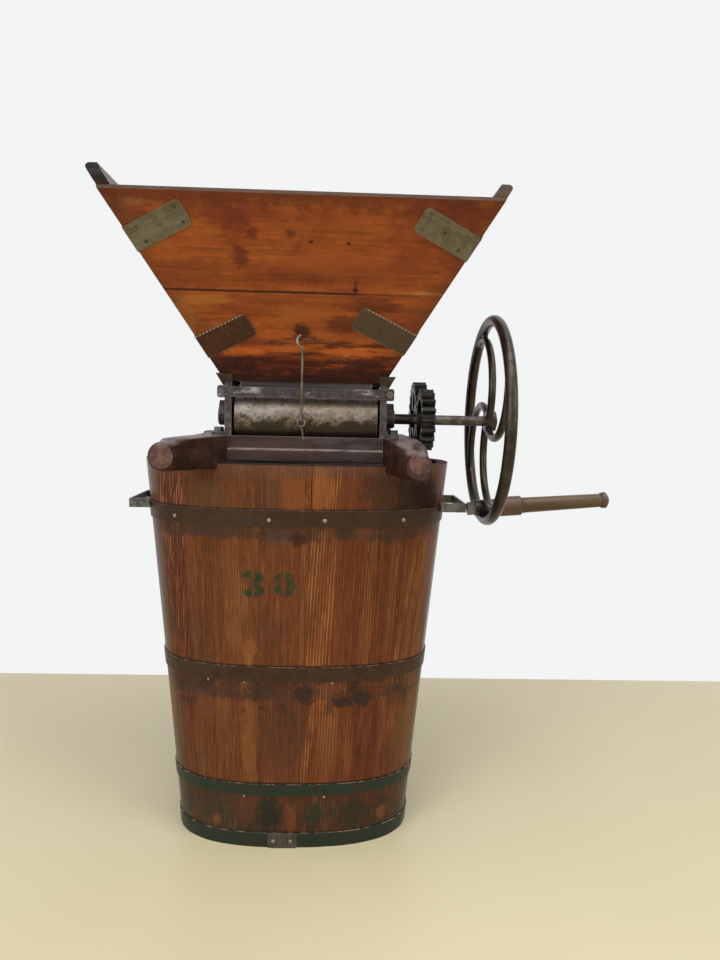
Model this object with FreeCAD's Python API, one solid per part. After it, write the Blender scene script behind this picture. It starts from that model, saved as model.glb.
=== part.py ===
"""Hand cranked grape crusher standing on an oval stave tub.

Millimetres. The origin is the centre of the tub's base, on the floor. +Z is up, +X points to the
crank's side and the front of the tub faces -Y.
"""

import FreeCAD, Part
import math
import os
from FreeCAD import Placement, Rotation, Vector

# Tub
tub_height = 700.0
tub_bottom_half_length = 217.0
tub_bottom_half_depth = 128.0
tub_top_half_length = 281.5
tub_top_half_depth = 153.5
oval_exponent = 2.5
stave_count = 16
stave_thickness = 20.0
seam_shift_bottom = 11.4
seam_shift_top = 30.0
base_board_low = 45.0
base_board_high = 63.0
base_board_count = 5
croze_depth = 5.0

# Hoops: name, lower edge, upper edge, side of the lapped joint (-1 front, 1 back) and its two ends in X
hoops = (
    ("base_hoop", 0.0, 27.0, -1, -41.0, 10.0),
    ("lower_hoop", 100.0, 121.0, 1, -60.0, -5.0),
    ("middle_hoop", 315.0, 341.0, 1, 92.0, 150.0),
    ("top_hoop", 593.0, 621.0, 1, -150.0, -90.0),
)
hoop_thickness = 2.5
rivet_radius = 3.6
rivet_height = 2.2
nail_radius = 2.2

# Carrying loops on the tub's two ends
loop_low = 611.0
loop_high = 627.0
loop_thickness = 4.0
left_loop_reach = 302.0
right_loop_reach = 310.5
loop_half_depth = 67.0
loop_foot = 26.0

# Crusher: its centre line, roller axes and frame
crusher_x = 16.0
axis_height = 779.0
gear_module = 5.55
crank_teeth = 18
rear_teeth = 24
roller_axis_y = gear_module * (crank_teeth + rear_teeth) / 4.0
roller_radius = 56.0
roller_half_length = 124.0
shaft_radius = 9.0
running_clearance = 0.05

frame_half_depth = 118.0
plate_inner = 128.6
plate_outer = 140.0
plate_bottom = 746.0
plate_top = 832.0
plate_horn_top = 839.4
foot_reach = 162.5
foot_thickness = 6.0
boss_reach = 156.0
boss_radius = 22.0
boss_centre_low = 784.0
boss_centre_high = 785.0
bush_radius = 12.5
lug_reach = 151.0
lug_low = 811.0

bar_half_length = 152.0
bar_thickness = 6.0
bar_low = 812.5
bar_high = 829.5

crosspiece_half_length = 134.5
crosspiece_thickness = 12.0
crosspiece_top = 746.0
crosspiece_ledge = 724.0
crosspiece_bottom = 700.5
crosspiece_step = 6.0

# Side timbers: stations along Y with inner side, outer side, low side, high side and corner radius
timber_stations = {
    "left": (
        (126.0, 118.5, 178.5, 690.0, 746.0, 4.0),
        (150.0, 138.5, 193.5, 690.0, 745.0, 5.0),
        (198.0, 167.5, 216.0, 690.5, 743.0, 9.0),
        (214.0, 174.0, 222.0, 690.8, 740.5, 21.5),
        (233.0, 181.4, 227.4, 691.5, 738.5, 22.4),
        (240.0, 186.4, 222.4, 696.5, 733.5, 17.8),
    ),
    "right": (
        (126.0, 150.5, 210.5, 687.0, 746.0, 4.0),
        (150.0, 160.0, 215.0, 686.0, 743.5, 5.0),
        (194.0, 168.0, 219.0, 683.5, 738.5, 9.0),
        (212.0, 172.5, 221.0, 682.5, 733.0, 21.5),
        (233.0, 176.3, 223.3, 681.8, 728.8, 22.6),
        (240.0, 181.0, 218.6, 686.5, 724.1, 18.2),
    ),
}
notch_clearance = 0.5
notch_open_height = 800.0

# Gears on the crank shaft and the rear shaft
gear_low_x = 219.5
gear_face = 24.0
gear_backlash = 0.5
pressure_angle = math.radians(20.0)
crank_gear_web = 11.0
rear_spokes = 5
rear_spoke_width = 13.0

# Flywheel and crank handle
wheel_x = 346.0
wheel_radius = 190.0
rim_radius = 10.0
spoke_radius = 6.8
spoke_count = 4
spoke_arc_forward = -0.347
spoke_arc_up = 0.301
spoke_arc_radius = 0.498
spoke_sweep = 172.0
web_before = 6.0
web_after = 32.0
web_thickness = 9.0
hub_radius = 18.0
hub_start = -6.0
hub_end = 13.0
crank_throw = 159.5
grip_tilt = 4.6
grip_bolt_radius = 6.0
handle_boss_radius = 15.0
handle_boss_half_width = 18.0
grip_profile = (
    (20.0, 15.5),
    (26.0, 18.0),
    (66.0, 18.0),
    (70.0, 14.6),
    (75.0, 14.2),
    (140.0, 13.4),
    (216.0, 12.4),
    (219.0, 14.5),
    (226.0, 15.0),
    (229.0, 11.5),
)

# Hopper
hopper_x = 13.0
hopper_bottom = 840.0
hopper_plank_seam = 979.0
hopper_top = 1109.5
hopper_half_depth = 120.0
hopper_half_length = 137.0
front_lean = math.radians(30.0)
side_lean = math.radians(31.4)
board_thickness = 20.0
side_thickness = 18.0
left_ear_top = 1154.0
right_ear_top = 1144.0
ear_radius = 20.0
top_edge_radius = 8.4
batten_half_length = 113.0
batten_low = 820.0
strap_width = 42.0
strap_thickness = 1.6
strap_corner = 7.0
upper_strap_height = 1045.0
upper_strap_reach = 98.0
left_low_strap_height = 893.0
left_low_strap_reach = 94.0
right_low_strap_height = 904.0
right_low_strap_reach = 102.0
hopper_gap = 0.5

# Latches
latch_x = 8.0
latch_y = -126.0
eye_height = 770.0
hook_wire = 2.2
hook_ring = 5.6
eye_wire = 1.6
eye_ring = 6.2
keeper_wire = 1.8
keeper_height = 911.5


os.makedirs("parts", exist_ok=True)


def block(x0, x1, y0, y1, z0, z1):
    """A box between two corners, given in any order."""
    low = Vector(min(x0, x1), min(y0, y1), min(z0, z1))
    return Part.makeBox(abs(x1 - x0), abs(y1 - y0), abs(z1 - z0), low)


def rod(start, end, radius):
    """A round bar between two points."""
    return Part.makeCylinder(radius, (end - start).Length, start, end - start)


def joined(shapes):
    """Several overlapping shapes as one solid."""
    first = shapes[0]
    return first.fuse(shapes[1:]).removeSplitter()


def mirrored_front_to_back(shape):
    return shape.mirror(Vector(0, 0, 0), Vector(0, 1, 0))


def turned_half(shape):
    """The shape turned half a turn about the crusher's upright centre line."""
    turned = shape.copy()
    turned.rotate(Vector(crusher_x, 0, 0), Vector(0, 0, 1), 180)
    return turned


def hexagon_nut(centre, axis, across_flats, height):
    """A hexagonal prism that starts at centre and runs along axis."""
    corner = across_flats / math.sqrt(3)
    points = []
    for k in range(7):
        angle = math.radians(60 * k)
        points.append(Vector(corner * math.cos(angle), corner * math.sin(angle), 0))
    prism = Part.Face(Part.makePolygon(points)).extrude(Vector(0, 0, height))
    prism.Placement = Placement(centre, Rotation(Vector(0, 0, 1), axis))
    return prism


def hexahedron(lower, upper):
    """A solid between two four-cornered faces whose corners are listed in the same order."""
    wires = [Part.makePolygon(list(corners) + [corners[0]]) for corners in (lower, upper)]
    return Part.makeLoft(wires, True, True)


def save(name, shape):
    """Write one node."""
    solids = shape.Solids
    whole = solids[0] if len(solids) == 1 else Part.makeCompound(solids)
    whole.exportStep("parts/" + name + ".step")
    print(name, len(solids), "solids", round(whole.Volume / 1000, 1), "cm3", "" if whole.isValid() else "BROKEN")


# The tub's oval outline
def oval_point(half_length, half_depth, angle, outwards):
    """A point on the oval, moved along its normal. Angle -90 degrees is the front centre."""
    c = math.cos(angle)
    s = math.sin(angle)
    power = 2.0 / oval_exponent
    x = half_length * math.copysign(abs(c) ** power, c)
    y = half_depth * math.copysign(abs(s) ** power, s)
    nx = math.copysign(abs(x / half_length) ** (oval_exponent - 1) / half_length, x)
    ny = math.copysign(abs(y / half_depth) ** (oval_exponent - 1) / half_depth, y)
    length = math.hypot(nx, ny)
    return Vector(x + outwards * nx / length, y + outwards * ny / length, 0)


def seam_angles(half_length, half_depth, shift):
    """Angles of stave seams and stave middles, at equal steps round the oval from the front."""
    samples = 1440
    angles = [math.radians(-90 + 360 * k / samples) for k in range(samples + 1)]
    lengths = [0.0]
    for a, b in zip(angles, angles[1:]):
        step = oval_point(half_length, half_depth, b, 0) - oval_point(half_length, half_depth, a, 0)
        lengths.append(lengths[-1] + step.Length)
    found = []
    for k in range(2 * stave_count):
        wanted = (shift + lengths[-1] * k / (2 * stave_count)) % lengths[-1]
        j = max(i for i in range(samples) if lengths[i] <= wanted)
        part = (wanted - lengths[j]) / (lengths[j + 1] - lengths[j])
        found.append(angles[j] + part * (angles[j + 1] - angles[j]))
    return found


bottom_angles = seam_angles(tub_bottom_half_length, tub_bottom_half_depth, seam_shift_bottom)
top_angles = seam_angles(tub_top_half_length, tub_top_half_depth, seam_shift_top)


def tub_point(k, z, outwards):
    """Point k on the tub's outside at height z: seams have even k, stave middles odd k."""
    k = k % (2 * stave_count)
    low = oval_point(tub_bottom_half_length, tub_bottom_half_depth, bottom_angles[k], outwards)
    high = oval_point(tub_top_half_length, tub_top_half_depth, top_angles[k], outwards)
    point = low + (high - low) * (z / tub_height)
    return Vector(point.x, point.y, z)


def stave_arc(stave, z, outwards):
    """The outline of one stave at height z."""
    k = 2 * stave
    return Part.Arc(
        tub_point(k, z, outwards), tub_point(k + 1, z, outwards), tub_point(k + 2, z, outwards)
    ).toShape()


def tub_ring(z, outwards):
    """The whole outline at height z."""
    return Part.Wire([stave_arc(stave, z, outwards) for stave in range(stave_count)])


def tub_slab(z0, z1, outwards):
    """The space inside the outline between two heights."""
    return Part.makeLoft([tub_ring(z0, outwards), tub_ring(z1, outwards)], True, True)


def tub_surface(x, z, outwards, side):
    """The point of the tub's outside at a given X and height: side -1 is the front, 1 the back."""
    share = z / tub_height
    half_length = tub_bottom_half_length + (tub_top_half_length - tub_bottom_half_length) * share
    half_depth = tub_bottom_half_depth + (tub_top_half_depth - tub_bottom_half_depth) * share
    c = (abs(x) / half_length) ** (oval_exponent / 2)
    angle = math.copysign(math.acos(math.copysign(c, x)), side)
    point = oval_point(half_length, half_depth, angle, outwards)
    beyond = oval_point(half_length, half_depth, angle, outwards + 1.0)
    return Vector(point.x, point.y, z), beyond - point


def tub_nail(x, z, outwards, side, radius, height):
    """A domed nail or rivet head whose foot still reaches into the tub's outside."""
    point, normal = tub_surface(x, z, outwards, side)
    base = Part.makeCylinder(radius, height * 0.45 + 1.0, point - normal, normal)
    dome = Part.makeCone(radius, radius * 0.5, height * 0.55, point + normal * height * 0.45, normal)
    return base.fuse(dome)


# Side timbers
def timber_section(side, station, extra, high):
    """A rounded rectangle across one side timber."""
    y, inner, outer, low, top, corner = station
    inner -= extra
    outer += extra
    low -= extra
    top = high if high else top
    sign = -1 if side == "left" else 1
    mid = (inner + outer) / 2
    half = (outer - inner) / 2
    centres = (
        (mid + half - corner, low + corner, -90),
        (mid + half - corner, top - corner, 0),
        (mid - half + corner, top - corner, 90),
        (mid - half + corner, low + corner, 180),
    )
    edges = []
    for n, (x, z, start) in enumerate(centres):
        points = []
        for step in (0, 45, 90):
            angle = math.radians(start + step)
            points.append(Vector(sign * (x + corner * math.cos(angle)), y, z + corner * math.sin(angle)))
        if edges:
            edges.append(Part.LineSegment(last, points[0]).toShape())
        else:
            first = points[0]
        edges.append(Part.Arc(*points).toShape())
        last = points[2]
    edges.append(Part.LineSegment(last, first).toShape())
    return Part.Wire(edges)


def side_timber(side, extra=0.0, high=None):
    """A hewn timber: straight in the middle, splayed and rounded to handles at both ends."""
    stations = timber_stations[side]
    front = []
    for station in stations:
        front.append(timber_section(side, (-station[0],) + station[1:], extra, high))
    front_end = Part.makeLoft(front, True, True)
    back_station = stations[0]
    middle = Part.makeLoft([front[0], timber_section(side, back_station, extra, high)], True, True)
    return joined([middle, front_end, mirrored_front_to_back(front_end)])


# Gears
def involute(angle):
    return math.tan(angle) - angle


def gear_outline(teeth, phase):
    """A closed involute outline in the plane across the shaft. Phase turns the first tooth from +Y."""
    pitch = gear_module * teeth / 2
    base = pitch * math.cos(pressure_angle)
    tip = pitch + gear_module
    root = pitch - 1.2 * gear_module
    half_at_pitch = math.pi / (2 * teeth) - gear_backlash / (4 * pitch)

    def half_angle(radius):
        return half_at_pitch + involute(pressure_angle) - involute(math.acos(min(1.0, base / radius)))

    def point(radius, angle):
        return Vector(0, radius * math.cos(angle), radius * math.sin(angle))

    start = max(base, root) + 0.01
    middle = (start + tip) / 2
    edges = []
    for n in range(teeth):
        centre = phase + 2 * math.pi * n / teeth
        following = centre + 2 * math.pi / teeth
        low = half_angle(start)
        mid = half_angle(middle)
        high = half_angle(tip)
        rising = (point(start, centre - low), point(middle, centre - mid), point(tip, centre - high))
        land = (point(tip, centre - high), point(tip, centre), point(tip, centre + high))
        falling = (point(tip, centre + high), point(middle, centre + mid), point(start, centre + low))
        edges.append(Part.Arc(*rising).toShape())
        edges.append(Part.Arc(*land).toShape())
        edges.append(Part.Arc(*falling).toShape())
        edges.append(Part.LineSegment(point(start, centre + low), point(root, centre + low)).toShape())
        valley = (
            point(root, centre + low),
            point(root, (centre + following) / 2),
            point(root, following - low),
        )
        edges.append(Part.Arc(*valley).toShape())
        edges.append(Part.LineSegment(point(root, following - low), point(start, following - low)).toShape())
    return Part.Wire(edges)


def gear_blank(teeth, phase, y):
    blank = Part.Face(gear_outline(teeth, phase)).extrude(Vector(gear_face, 0, 0))
    blank.translate(Vector(gear_low_x, y, axis_height))
    return blank


def along_x(radius, x0, x1, y, z):
    """A round bar along X."""
    return Part.makeCylinder(radius, x1 - x0, Vector(x0, y, z), Vector(1, 0, 0))


# Hopper planes
def front_point(x, slope, out, side):
    """A point on the front (side -1) or rear (side 1) face, up its slope and outside it."""
    y = hopper_half_depth + slope * math.sin(front_lean) + out * math.cos(front_lean)
    z = hopper_bottom + slope * math.cos(front_lean) - out * math.sin(front_lean)
    return Vector(hopper_x + x, side * y, z)


def half_length_at(z):
    return hopper_half_length + (z - hopper_bottom) * math.tan(side_lean)


def half_depth_at(z):
    return hopper_half_depth + (z - hopper_bottom) * math.tan(front_lean)


def front_board(side, z0, z1):
    """A front or rear board with edges cut square to its face and ends in the side planes."""
    faces = []
    for out in (0.0, -board_thickness):
        corners = []
        for z, ends in ((z0, (-1, 1)), (z1, (1, -1))):
            slope = (z - hopper_bottom) / math.cos(front_lean)
            level = z - out * math.sin(front_lean)
            corners += [front_point(end * half_length_at(level), slope, out, side) for end in ends]
        faces.append(corners)
    return hexahedron(faces[0], faces[1])


def rounded_corner(corner, before, after, radius):
    """Start, middle and end of the arc that rounds a corner between its two neighbours."""
    back = (before - corner).normalize()
    ahead = (after - corner).normalize()
    half = back.getAngle(ahead) / 2
    inward = (back + ahead).normalize()
    run = radius / math.tan(half)
    middle = corner + inward * (radius / math.sin(half) - radius)
    return corner + back * run, middle, corner + ahead * run


def rounded_outline(corners, radius):
    """Four corners as a closed outline, with its second and third corners rounded."""
    start = rounded_corner(corners[1], corners[0], corners[2], radius)
    end = rounded_corner(corners[2], corners[1], corners[3], radius)
    edges = [
        Part.LineSegment(corners[0], start[0]),
        Part.Arc(*start),
        Part.LineSegment(start[2], end[0]),
        Part.Arc(*end),
        Part.LineSegment(end[2], corners[3]),
        Part.LineSegment(corners[3], corners[0]),
    ]
    return Part.Wire([edge.toShape() for edge in edges])


def side_board(side, z0, z1, ear=0.0):
    """A side board between the front and rear boards. The upper one has rounded ears and a rounded top edge."""
    depths = [half_depth_at(z) - board_thickness / math.cos(front_lean) for z in (z0, z1)]
    low_front, low_rear = Vector(0, -depths[0], z0), Vector(0, depths[0], z0)
    high_front, high_rear = Vector(0, -depths[1], z1), Vector(0, depths[1], z1)
    outer = [Vector(hopper_x + side * half_length_at(z), 0, z) for z in (z0, z1)]
    across = Vector(-side * side_thickness / math.cos(side_lean), 0, 0)
    inner = [point + across for point in outer]
    if ear:
        face = rounded_outline([low_front, high_front, high_rear, low_rear], ear)
        section = rounded_outline([outer[0], outer[1], inner[1], inner[0]], top_edge_radius)
    else:
        face = Part.makePolygon([low_front, high_front, high_rear, low_rear, low_front])
        section = Part.makePolygon([outer[0], outer[1], inner[1], inner[0], outer[0]])
    broad = Part.Face(face).extrude(Vector(2 * tub_height, 0, 0))
    broad.translate(Vector(-tub_height, 0, 0))
    board = Part.Face(section).extrude(Vector(0, 2 * tub_height, 0))
    board.translate(Vector(0, -tub_height, 0))
    return board.common(broad)


def edge_point(z, x_side, y_side):
    """A point on one of the hopper's four slanted corners."""
    return Vector(hopper_x + x_side * half_length_at(z), y_side * half_depth_at(z), z)


def strap_frame(z, x_side, y_side):
    """Corner point, direction up the corner, and for both faces the inward run and the normal."""
    corner = edge_point(z, x_side, y_side)
    up = edge_point(z + 1, x_side, y_side) - corner
    up.normalize()
    front_normal = Vector(0, y_side * math.cos(front_lean), -math.sin(front_lean))
    side_normal = Vector(x_side * math.cos(side_lean), 0, -math.sin(side_lean))
    runs = []
    for normal, inward in ((front_normal, Vector(-x_side, 0, 0)), (side_normal, Vector(0, -y_side, 0))):
        run = up.cross(normal)
        run.normalize()
        if run.dot(inward) < 0:
            run = -run
        runs.append((run, normal))
    return corner, up, runs


def corner_strap(z, x_side, y_side, reach, boards):
    """A sheet strap bent round one corner of the hopper."""
    corner, up, runs = strap_frame(z, x_side, y_side)
    low = corner - up * (strap_width / 2)
    high = corner + up * (strap_width / 2)
    pieces = [rod(low, high, strap_thickness)]
    for run, normal in runs:
        blunt = run * strap_corner
        outline = [
            low,
            high,
            high + run * reach - blunt,
            high + run * (reach - strap_corner * 0.3) - up * (strap_corner * 0.3),
            high + run * reach - up * strap_corner,
            low + run * reach + up * strap_corner,
            low + run * (reach - strap_corner * 0.3) + up * (strap_corner * 0.3),
            low + run * reach - blunt,
            low,
        ]
        pieces.append(Part.Face(Part.makePolygon(outline)).extrude(normal * strap_thickness))
    return joined(pieces).cut(boards)


def strap_nails(z, x_side, y_side, reach):
    """Nail heads on both legs of a strap."""
    corner, up, runs = strap_frame(z, x_side, y_side)
    heads = []
    for run, normal in runs:
        for along, across in ((0.2, -0.3), (0.2, 0.3), (0.55, 0.0), (0.88, -0.3), (0.88, 0.3)):
            base = corner + run * (reach * along) + up * (strap_width * across)
            heads.append(Part.makeCylinder(nail_radius, 0.9, base + normal * strap_thickness, normal))
    return heads


# Tub
base_disc = tub_slab(base_board_low, base_board_high, croze_depth - stave_thickness)
notches = [side_timber(side, notch_clearance, notch_open_height) for side in ("left", "right")]
tub_wall = []
for stave in range(stave_count):
    profiles = []
    for z in (0.0, tub_height):
        outer = stave_arc(stave, z, 0)
        inner = stave_arc(stave, z, -stave_thickness)
        first = Part.LineSegment(tub_point(2 * stave, z, 0), tub_point(2 * stave, z, -stave_thickness))
        last = Part.LineSegment(
            tub_point(2 * stave + 2, z, -stave_thickness), tub_point(2 * stave + 2, z, 0)
        )
        profiles.append(Part.Wire([outer, last.toShape(), inner, first.toShape()]))
    board = Part.makeLoft(profiles, True, True).cut(base_disc)
    for notch in notches:
        if board.BoundBox.intersect(notch.BoundBox):
            board = board.cut(notch)
    save(f"stave_{stave + 1:02d}", board)
    tub_wall.append(board)

depth_of_board = 2 * tub_top_half_depth / base_board_count
base_boards = []
for n in range(base_board_count):
    y0 = -tub_top_half_depth + n * depth_of_board
    cell = block(-tub_top_half_length, tub_top_half_length, y0, y0 + depth_of_board, 0, tub_height)
    base_boards.append(base_disc.common(cell))
save("tub_bottom_boards", Part.makeCompound(base_boards))

lap_rivets = []
for name, low, high, side, lap_start, lap_end in hoops:
    inside = tub_slab(low, high, 0.0)
    hoop = tub_slab(low, high, hoop_thickness).cut(inside)
    lap = tub_slab(low, high, 2 * hoop_thickness).cut(inside)
    lap = lap.common(block(lap_start, lap_end, 0, side * tub_height, low, high))
    hoop = joined([hoop, lap])
    save(name, hoop)
    tub_wall.append(hoop)
    lap_rivets.append((side, (low + high) / 2, lap_start + 10.0))
    lap_rivets.append((side, (low + high) / 2, lap_end - 10.0))

# Each row: height, metal under the head, X of the heads on the front
head_rows = (
    (604.0, hoop_thickness, rivet_radius, (-209.0, -43.0, 52.0, 189.0)),
    (312.0, 0.0, nail_radius, (-150.0, -85.0, 70.0, 204.0)),
    (96.5, 0.0, nail_radius, (-85.0, 59.0)),
)
heads = []
for z, metal, radius, places in head_rows:
    for x in places:
        heads += [tub_nail(x, z, metal, side, radius, rivet_height) for side in (-1, 1)]
for side, z, x in lap_rivets:
    heads.append(tub_nail(x, z, 2 * hoop_thickness, side, rivet_radius, rivet_height))


def wall_at(y, z):
    """Half the tub's outer length at a given Y and height."""
    share = z / tub_height
    half_length = tub_bottom_half_length + (tub_top_half_length - tub_bottom_half_length) * share
    half_depth = tub_bottom_half_depth + (tub_top_half_depth - tub_bottom_half_depth) * share
    return half_length * (1 - abs(y / half_depth) ** oval_exponent) ** (1 / oval_exponent)


def carrying_loop(side, reach):
    """A flat iron bar bent to a square loop, with a foot turned inwards along the hoop at each end."""
    clear = hoop_thickness + loop_thickness / 2 + 1.4
    points = []
    for y in (loop_foot - loop_half_depth, -loop_half_depth):
        points.append(Vector(side * (wall_at(y, loop_high) + clear), y, loop_low))
    points.append(Vector(side * (reach - loop_thickness / 2), -loop_half_depth, loop_low))
    points += [Vector(p.x, -p.y, p.z) for p in reversed(points)]
    height = loop_high - loop_low
    pieces = []
    for a, b in zip(points, points[1:]):
        along = b - a
        slab = Part.makeBox(along.Length, loop_thickness, height, Vector(0, -loop_thickness / 2, 0))
        angle = math.degrees(math.atan2(along.y, along.x))
        slab.Placement = Placement(a, Rotation(Vector(0, 0, 1), angle))
        pieces.append(slab)
    for p in points[1:-1]:
        pieces.append(Part.makeCylinder(loop_thickness / 2, height, p, Vector(0, 0, 1)))
    feet = [(points[0], points[1]), (points[-2], points[-1])]
    return joined(pieces), feet


loops = []
for name, side, reach in (("left_tub_handle", -1, left_loop_reach), ("right_tub_handle", 1, right_loop_reach)):
    loop, feet = carrying_loop(side, reach)
    save(name, loop)
    loops.append(loop)
    for a, b in feet:
        middle = (a + b) * 0.5 + Vector(0, 0, (loop_high - loop_low) / 2)
        normal = Vector(0, 0, 1).cross(b - a)
        normal.normalize()
        if normal.x * side < 0:
            normal = -normal
        start = middle + normal * (loop_thickness / 2)
        heads.append(Part.makeCylinder(rivet_radius, rivet_height, start, normal))
rivets = []
for head in heads:
    for solid in tub_wall + loops:
        if head.BoundBox.intersect(solid.BoundBox):
            head = head.cut(solid)
    rivets.append(head)
save("tub_rivets", Part.makeCompound(rivets))

# Fasteners of the frame
bolt_ys = (-82.0, 82.0)
foot_bolt_x = 155.0
lug_bolt_x = 144.5
bolts = []
bolt_holes = []
for side in (-1, 1):
    for y in bolt_ys:
        x = crusher_x + side * foot_bolt_x
        seat = plate_bottom + foot_thickness
        shank = rod(Vector(x, y, seat - 34.0), Vector(x, y, seat + 1.0), 4.0)
        head = hexagon_nut(Vector(x, y, seat), Vector(0, 0, 1), 15.0, 7.5)
        bolts.append(joined([shank, head]))
        bolt_holes.append(shank)
    for end in (-1, 1):
        x = crusher_x + side * lug_bolt_x
        z = (bar_low + bar_high) / 2
        face = frame_half_depth + bar_thickness
        out = Vector(0, end, 0)
        shank = rod(Vector(x, end * (frame_half_depth - 11), z), Vector(x, end * (face + 1), z), 3.2)
        head = hexagon_nut(Vector(x, end * face, z), out, 10.0, 3.6)
        bolts.append(joined([shank, head]))
        bolt_holes.append(shank)
all_holes = Part.makeCompound(bolt_holes)
save("frame_bolts", Part.makeCompound(bolts))

# Screw eyes: the hook's ring hangs round the top of the eye and turns there
eye_centre = Vector(latch_x, latch_y, eye_height)
latch_pivot = eye_centre + Vector(0, 0, eye_ring)
eye_torus = Part.makeTorus(eye_ring, eye_wire, eye_centre, Vector(0, 1, 0))
eye_foot = Vector(latch_x + 5.0, -frame_half_depth + 5.5, crosspiece_top - 12.0)
eye_start = eye_centre + (eye_foot - eye_centre).normalize() * eye_ring
eye_saddle = rod(latch_pivot - Vector(3.0, 0, 0), latch_pivot + Vector(3.0, 0, 0), eye_wire + 0.15)
screw_eye = joined([eye_torus, eye_saddle, rod(eye_start, eye_foot, eye_wire + 0.3)])
screw_eyes = Part.makeCompound([screw_eye, turned_half(screw_eye)])
save("latch_screw_eyes", screw_eyes)

# Side timbers and crosspieces
for side in ("left", "right"):
    save(side + "_side_timber", side_timber(side).cut(all_holes))

crosspiece_back = -frame_half_depth + crosspiece_thickness
x_low = crusher_x - crosspiece_half_length
x_high = crusher_x + crosspiece_half_length
upper = block(x_low, x_high, -frame_half_depth, crosspiece_back, crosspiece_ledge, crosspiece_top)
lower_front = -frame_half_depth - crosspiece_step
lower = block(x_low, x_high, lower_front, crosspiece_back, crosspiece_bottom, crosspiece_ledge)
save("front_crosspiece_upper", upper.cut(screw_eyes))
save("front_crosspiece_lower", lower)
save("rear_crosspiece_upper", turned_half(upper).cut(screw_eyes))
save("rear_crosspiece_lower", turned_half(lower))

# Iron end plates with feet, bearing bosses and corner lugs
bushes = []
for name, side in (("left_end_plate", -1), ("right_end_plate", 1)):
    inner = crusher_x + side * plate_inner
    outer = crusher_x + side * plate_outer
    foot = crusher_x + side * foot_reach
    boss = crusher_x + side * boss_reach
    lug = crusher_x + side * lug_reach
    foot_top = plate_bottom + foot_thickness
    pieces = [
        block(inner, outer, -frame_half_depth, frame_half_depth, plate_bottom, plate_top),
        block(inner, foot, -frame_half_depth, frame_half_depth, plate_bottom, foot_top),
    ]
    for end in (-1, 1):
        near = end * frame_half_depth
        pieces.append(block(outer, lug, near, near - end * 14.0, lug_low, plate_top))
        pieces.append(block(inner, outer, near, near - end * 16.0, plate_top, plate_horn_top))
        y = end * roller_axis_y
        start = min(inner, boss)
        stop = max(inner, boss)
        pieces.append(along_x(boss_radius, start, stop, y, boss_centre_low))
        pieces.append(along_x(boss_radius, start, stop, y, boss_centre_high))
        bushes.append((min(inner, boss + side * 2.2), max(inner, boss + side * 2.2), boss, side, y))
    plate = joined(pieces)
    for end in (-1, 1):
        plate = plate.cut(along_x(bush_radius, start - 30, stop + 30, end * roller_axis_y, axis_height))
    save(name, plate.cut(all_holes))

bush_solids = []
for x0, x1, boss, side, y in bushes:
    sleeve = along_x(bush_radius, x0, x1, y, axis_height)
    flange = along_x(bush_radius + 3.0, min(boss, boss + side * 2.2), max(boss, boss + side * 2.2), y, axis_height)
    bore = along_x(shaft_radius + running_clearance, x0 - 5, x1 + 5, y, axis_height)
    bush_solids.append(joined([sleeve, flange]).cut(bore))
save("bearing_bushes", Part.makeCompound(bush_solids))

# Bars across the top of the frame
bar = block(
    crusher_x - bar_half_length,
    crusher_x + bar_half_length,
    -frame_half_depth - bar_thickness,
    -frame_half_depth,
    bar_low,
    bar_high,
)
save("front_top_bar", bar.cut(all_holes))
save("rear_top_bar", turned_half(bar).cut(all_holes))


# Sheet seats that hold the hopper's lower corners
def hopper_seat(side):
    """A leg on the end plate, a flared flap under the side board and a gusset before each corner."""
    thickness = 3.0
    low = (plate_outer + 0.5, plate_top + 2.0)
    high = (plate_outer + 10.5, hopper_bottom + 12.5)
    run = Vector(high[0] - low[0], 0, high[1] - low[1])
    run.normalize()
    away = Vector(run.z, 0, -run.x)
    out = hopper_gap + 2.2

    def flap_corner(place, offset, end):
        x = place[0] + away.x * offset
        z = place[1] + away.z * offset
        depth = half_depth_at(z) + out / math.cos(front_lean)
        return Vector(crusher_x + side * x, end * depth, z)

    front = [
        flap_corner(low, 0, -1),
        flap_corner(high, 0, -1),
        flap_corner(high, thickness, -1),
        flap_corner(low, thickness, -1),
    ]
    back = [Vector(p.x, -p.y, p.z) for p in front]
    flap = hexahedron(front, back)
    leg_depth = frame_half_depth - 15.0
    leg = block(
        crusher_x + side * plate_outer,
        crusher_x + side * (plate_outer + thickness),
        -leg_depth,
        leg_depth,
        plate_top - 20.0,
        plate_top + 3.2,
    )
    pieces = [flap, leg]
    for end in (-1, 1):
        places = ((high[0] + 3.0, 14.5), (126.0, 14.5), (126.0, -0.6), (low[0] + 1.0, -0.6))
        corners = [front_point(crusher_x - hopper_x + side * x, s, hopper_gap, end) for x, s in places]
        normal = front_point(0, 0, 1, end) - front_point(0, 0, 0, end)
        face = Part.Face(Part.makePolygon(corners + [corners[0]]))
        pieces.append(face.extrude(normal * (out - hopper_gap)))
    return joined(pieces)


save("hopper_seats", Part.makeCompound([hopper_seat(-1), hopper_seat(1)]))


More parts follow.
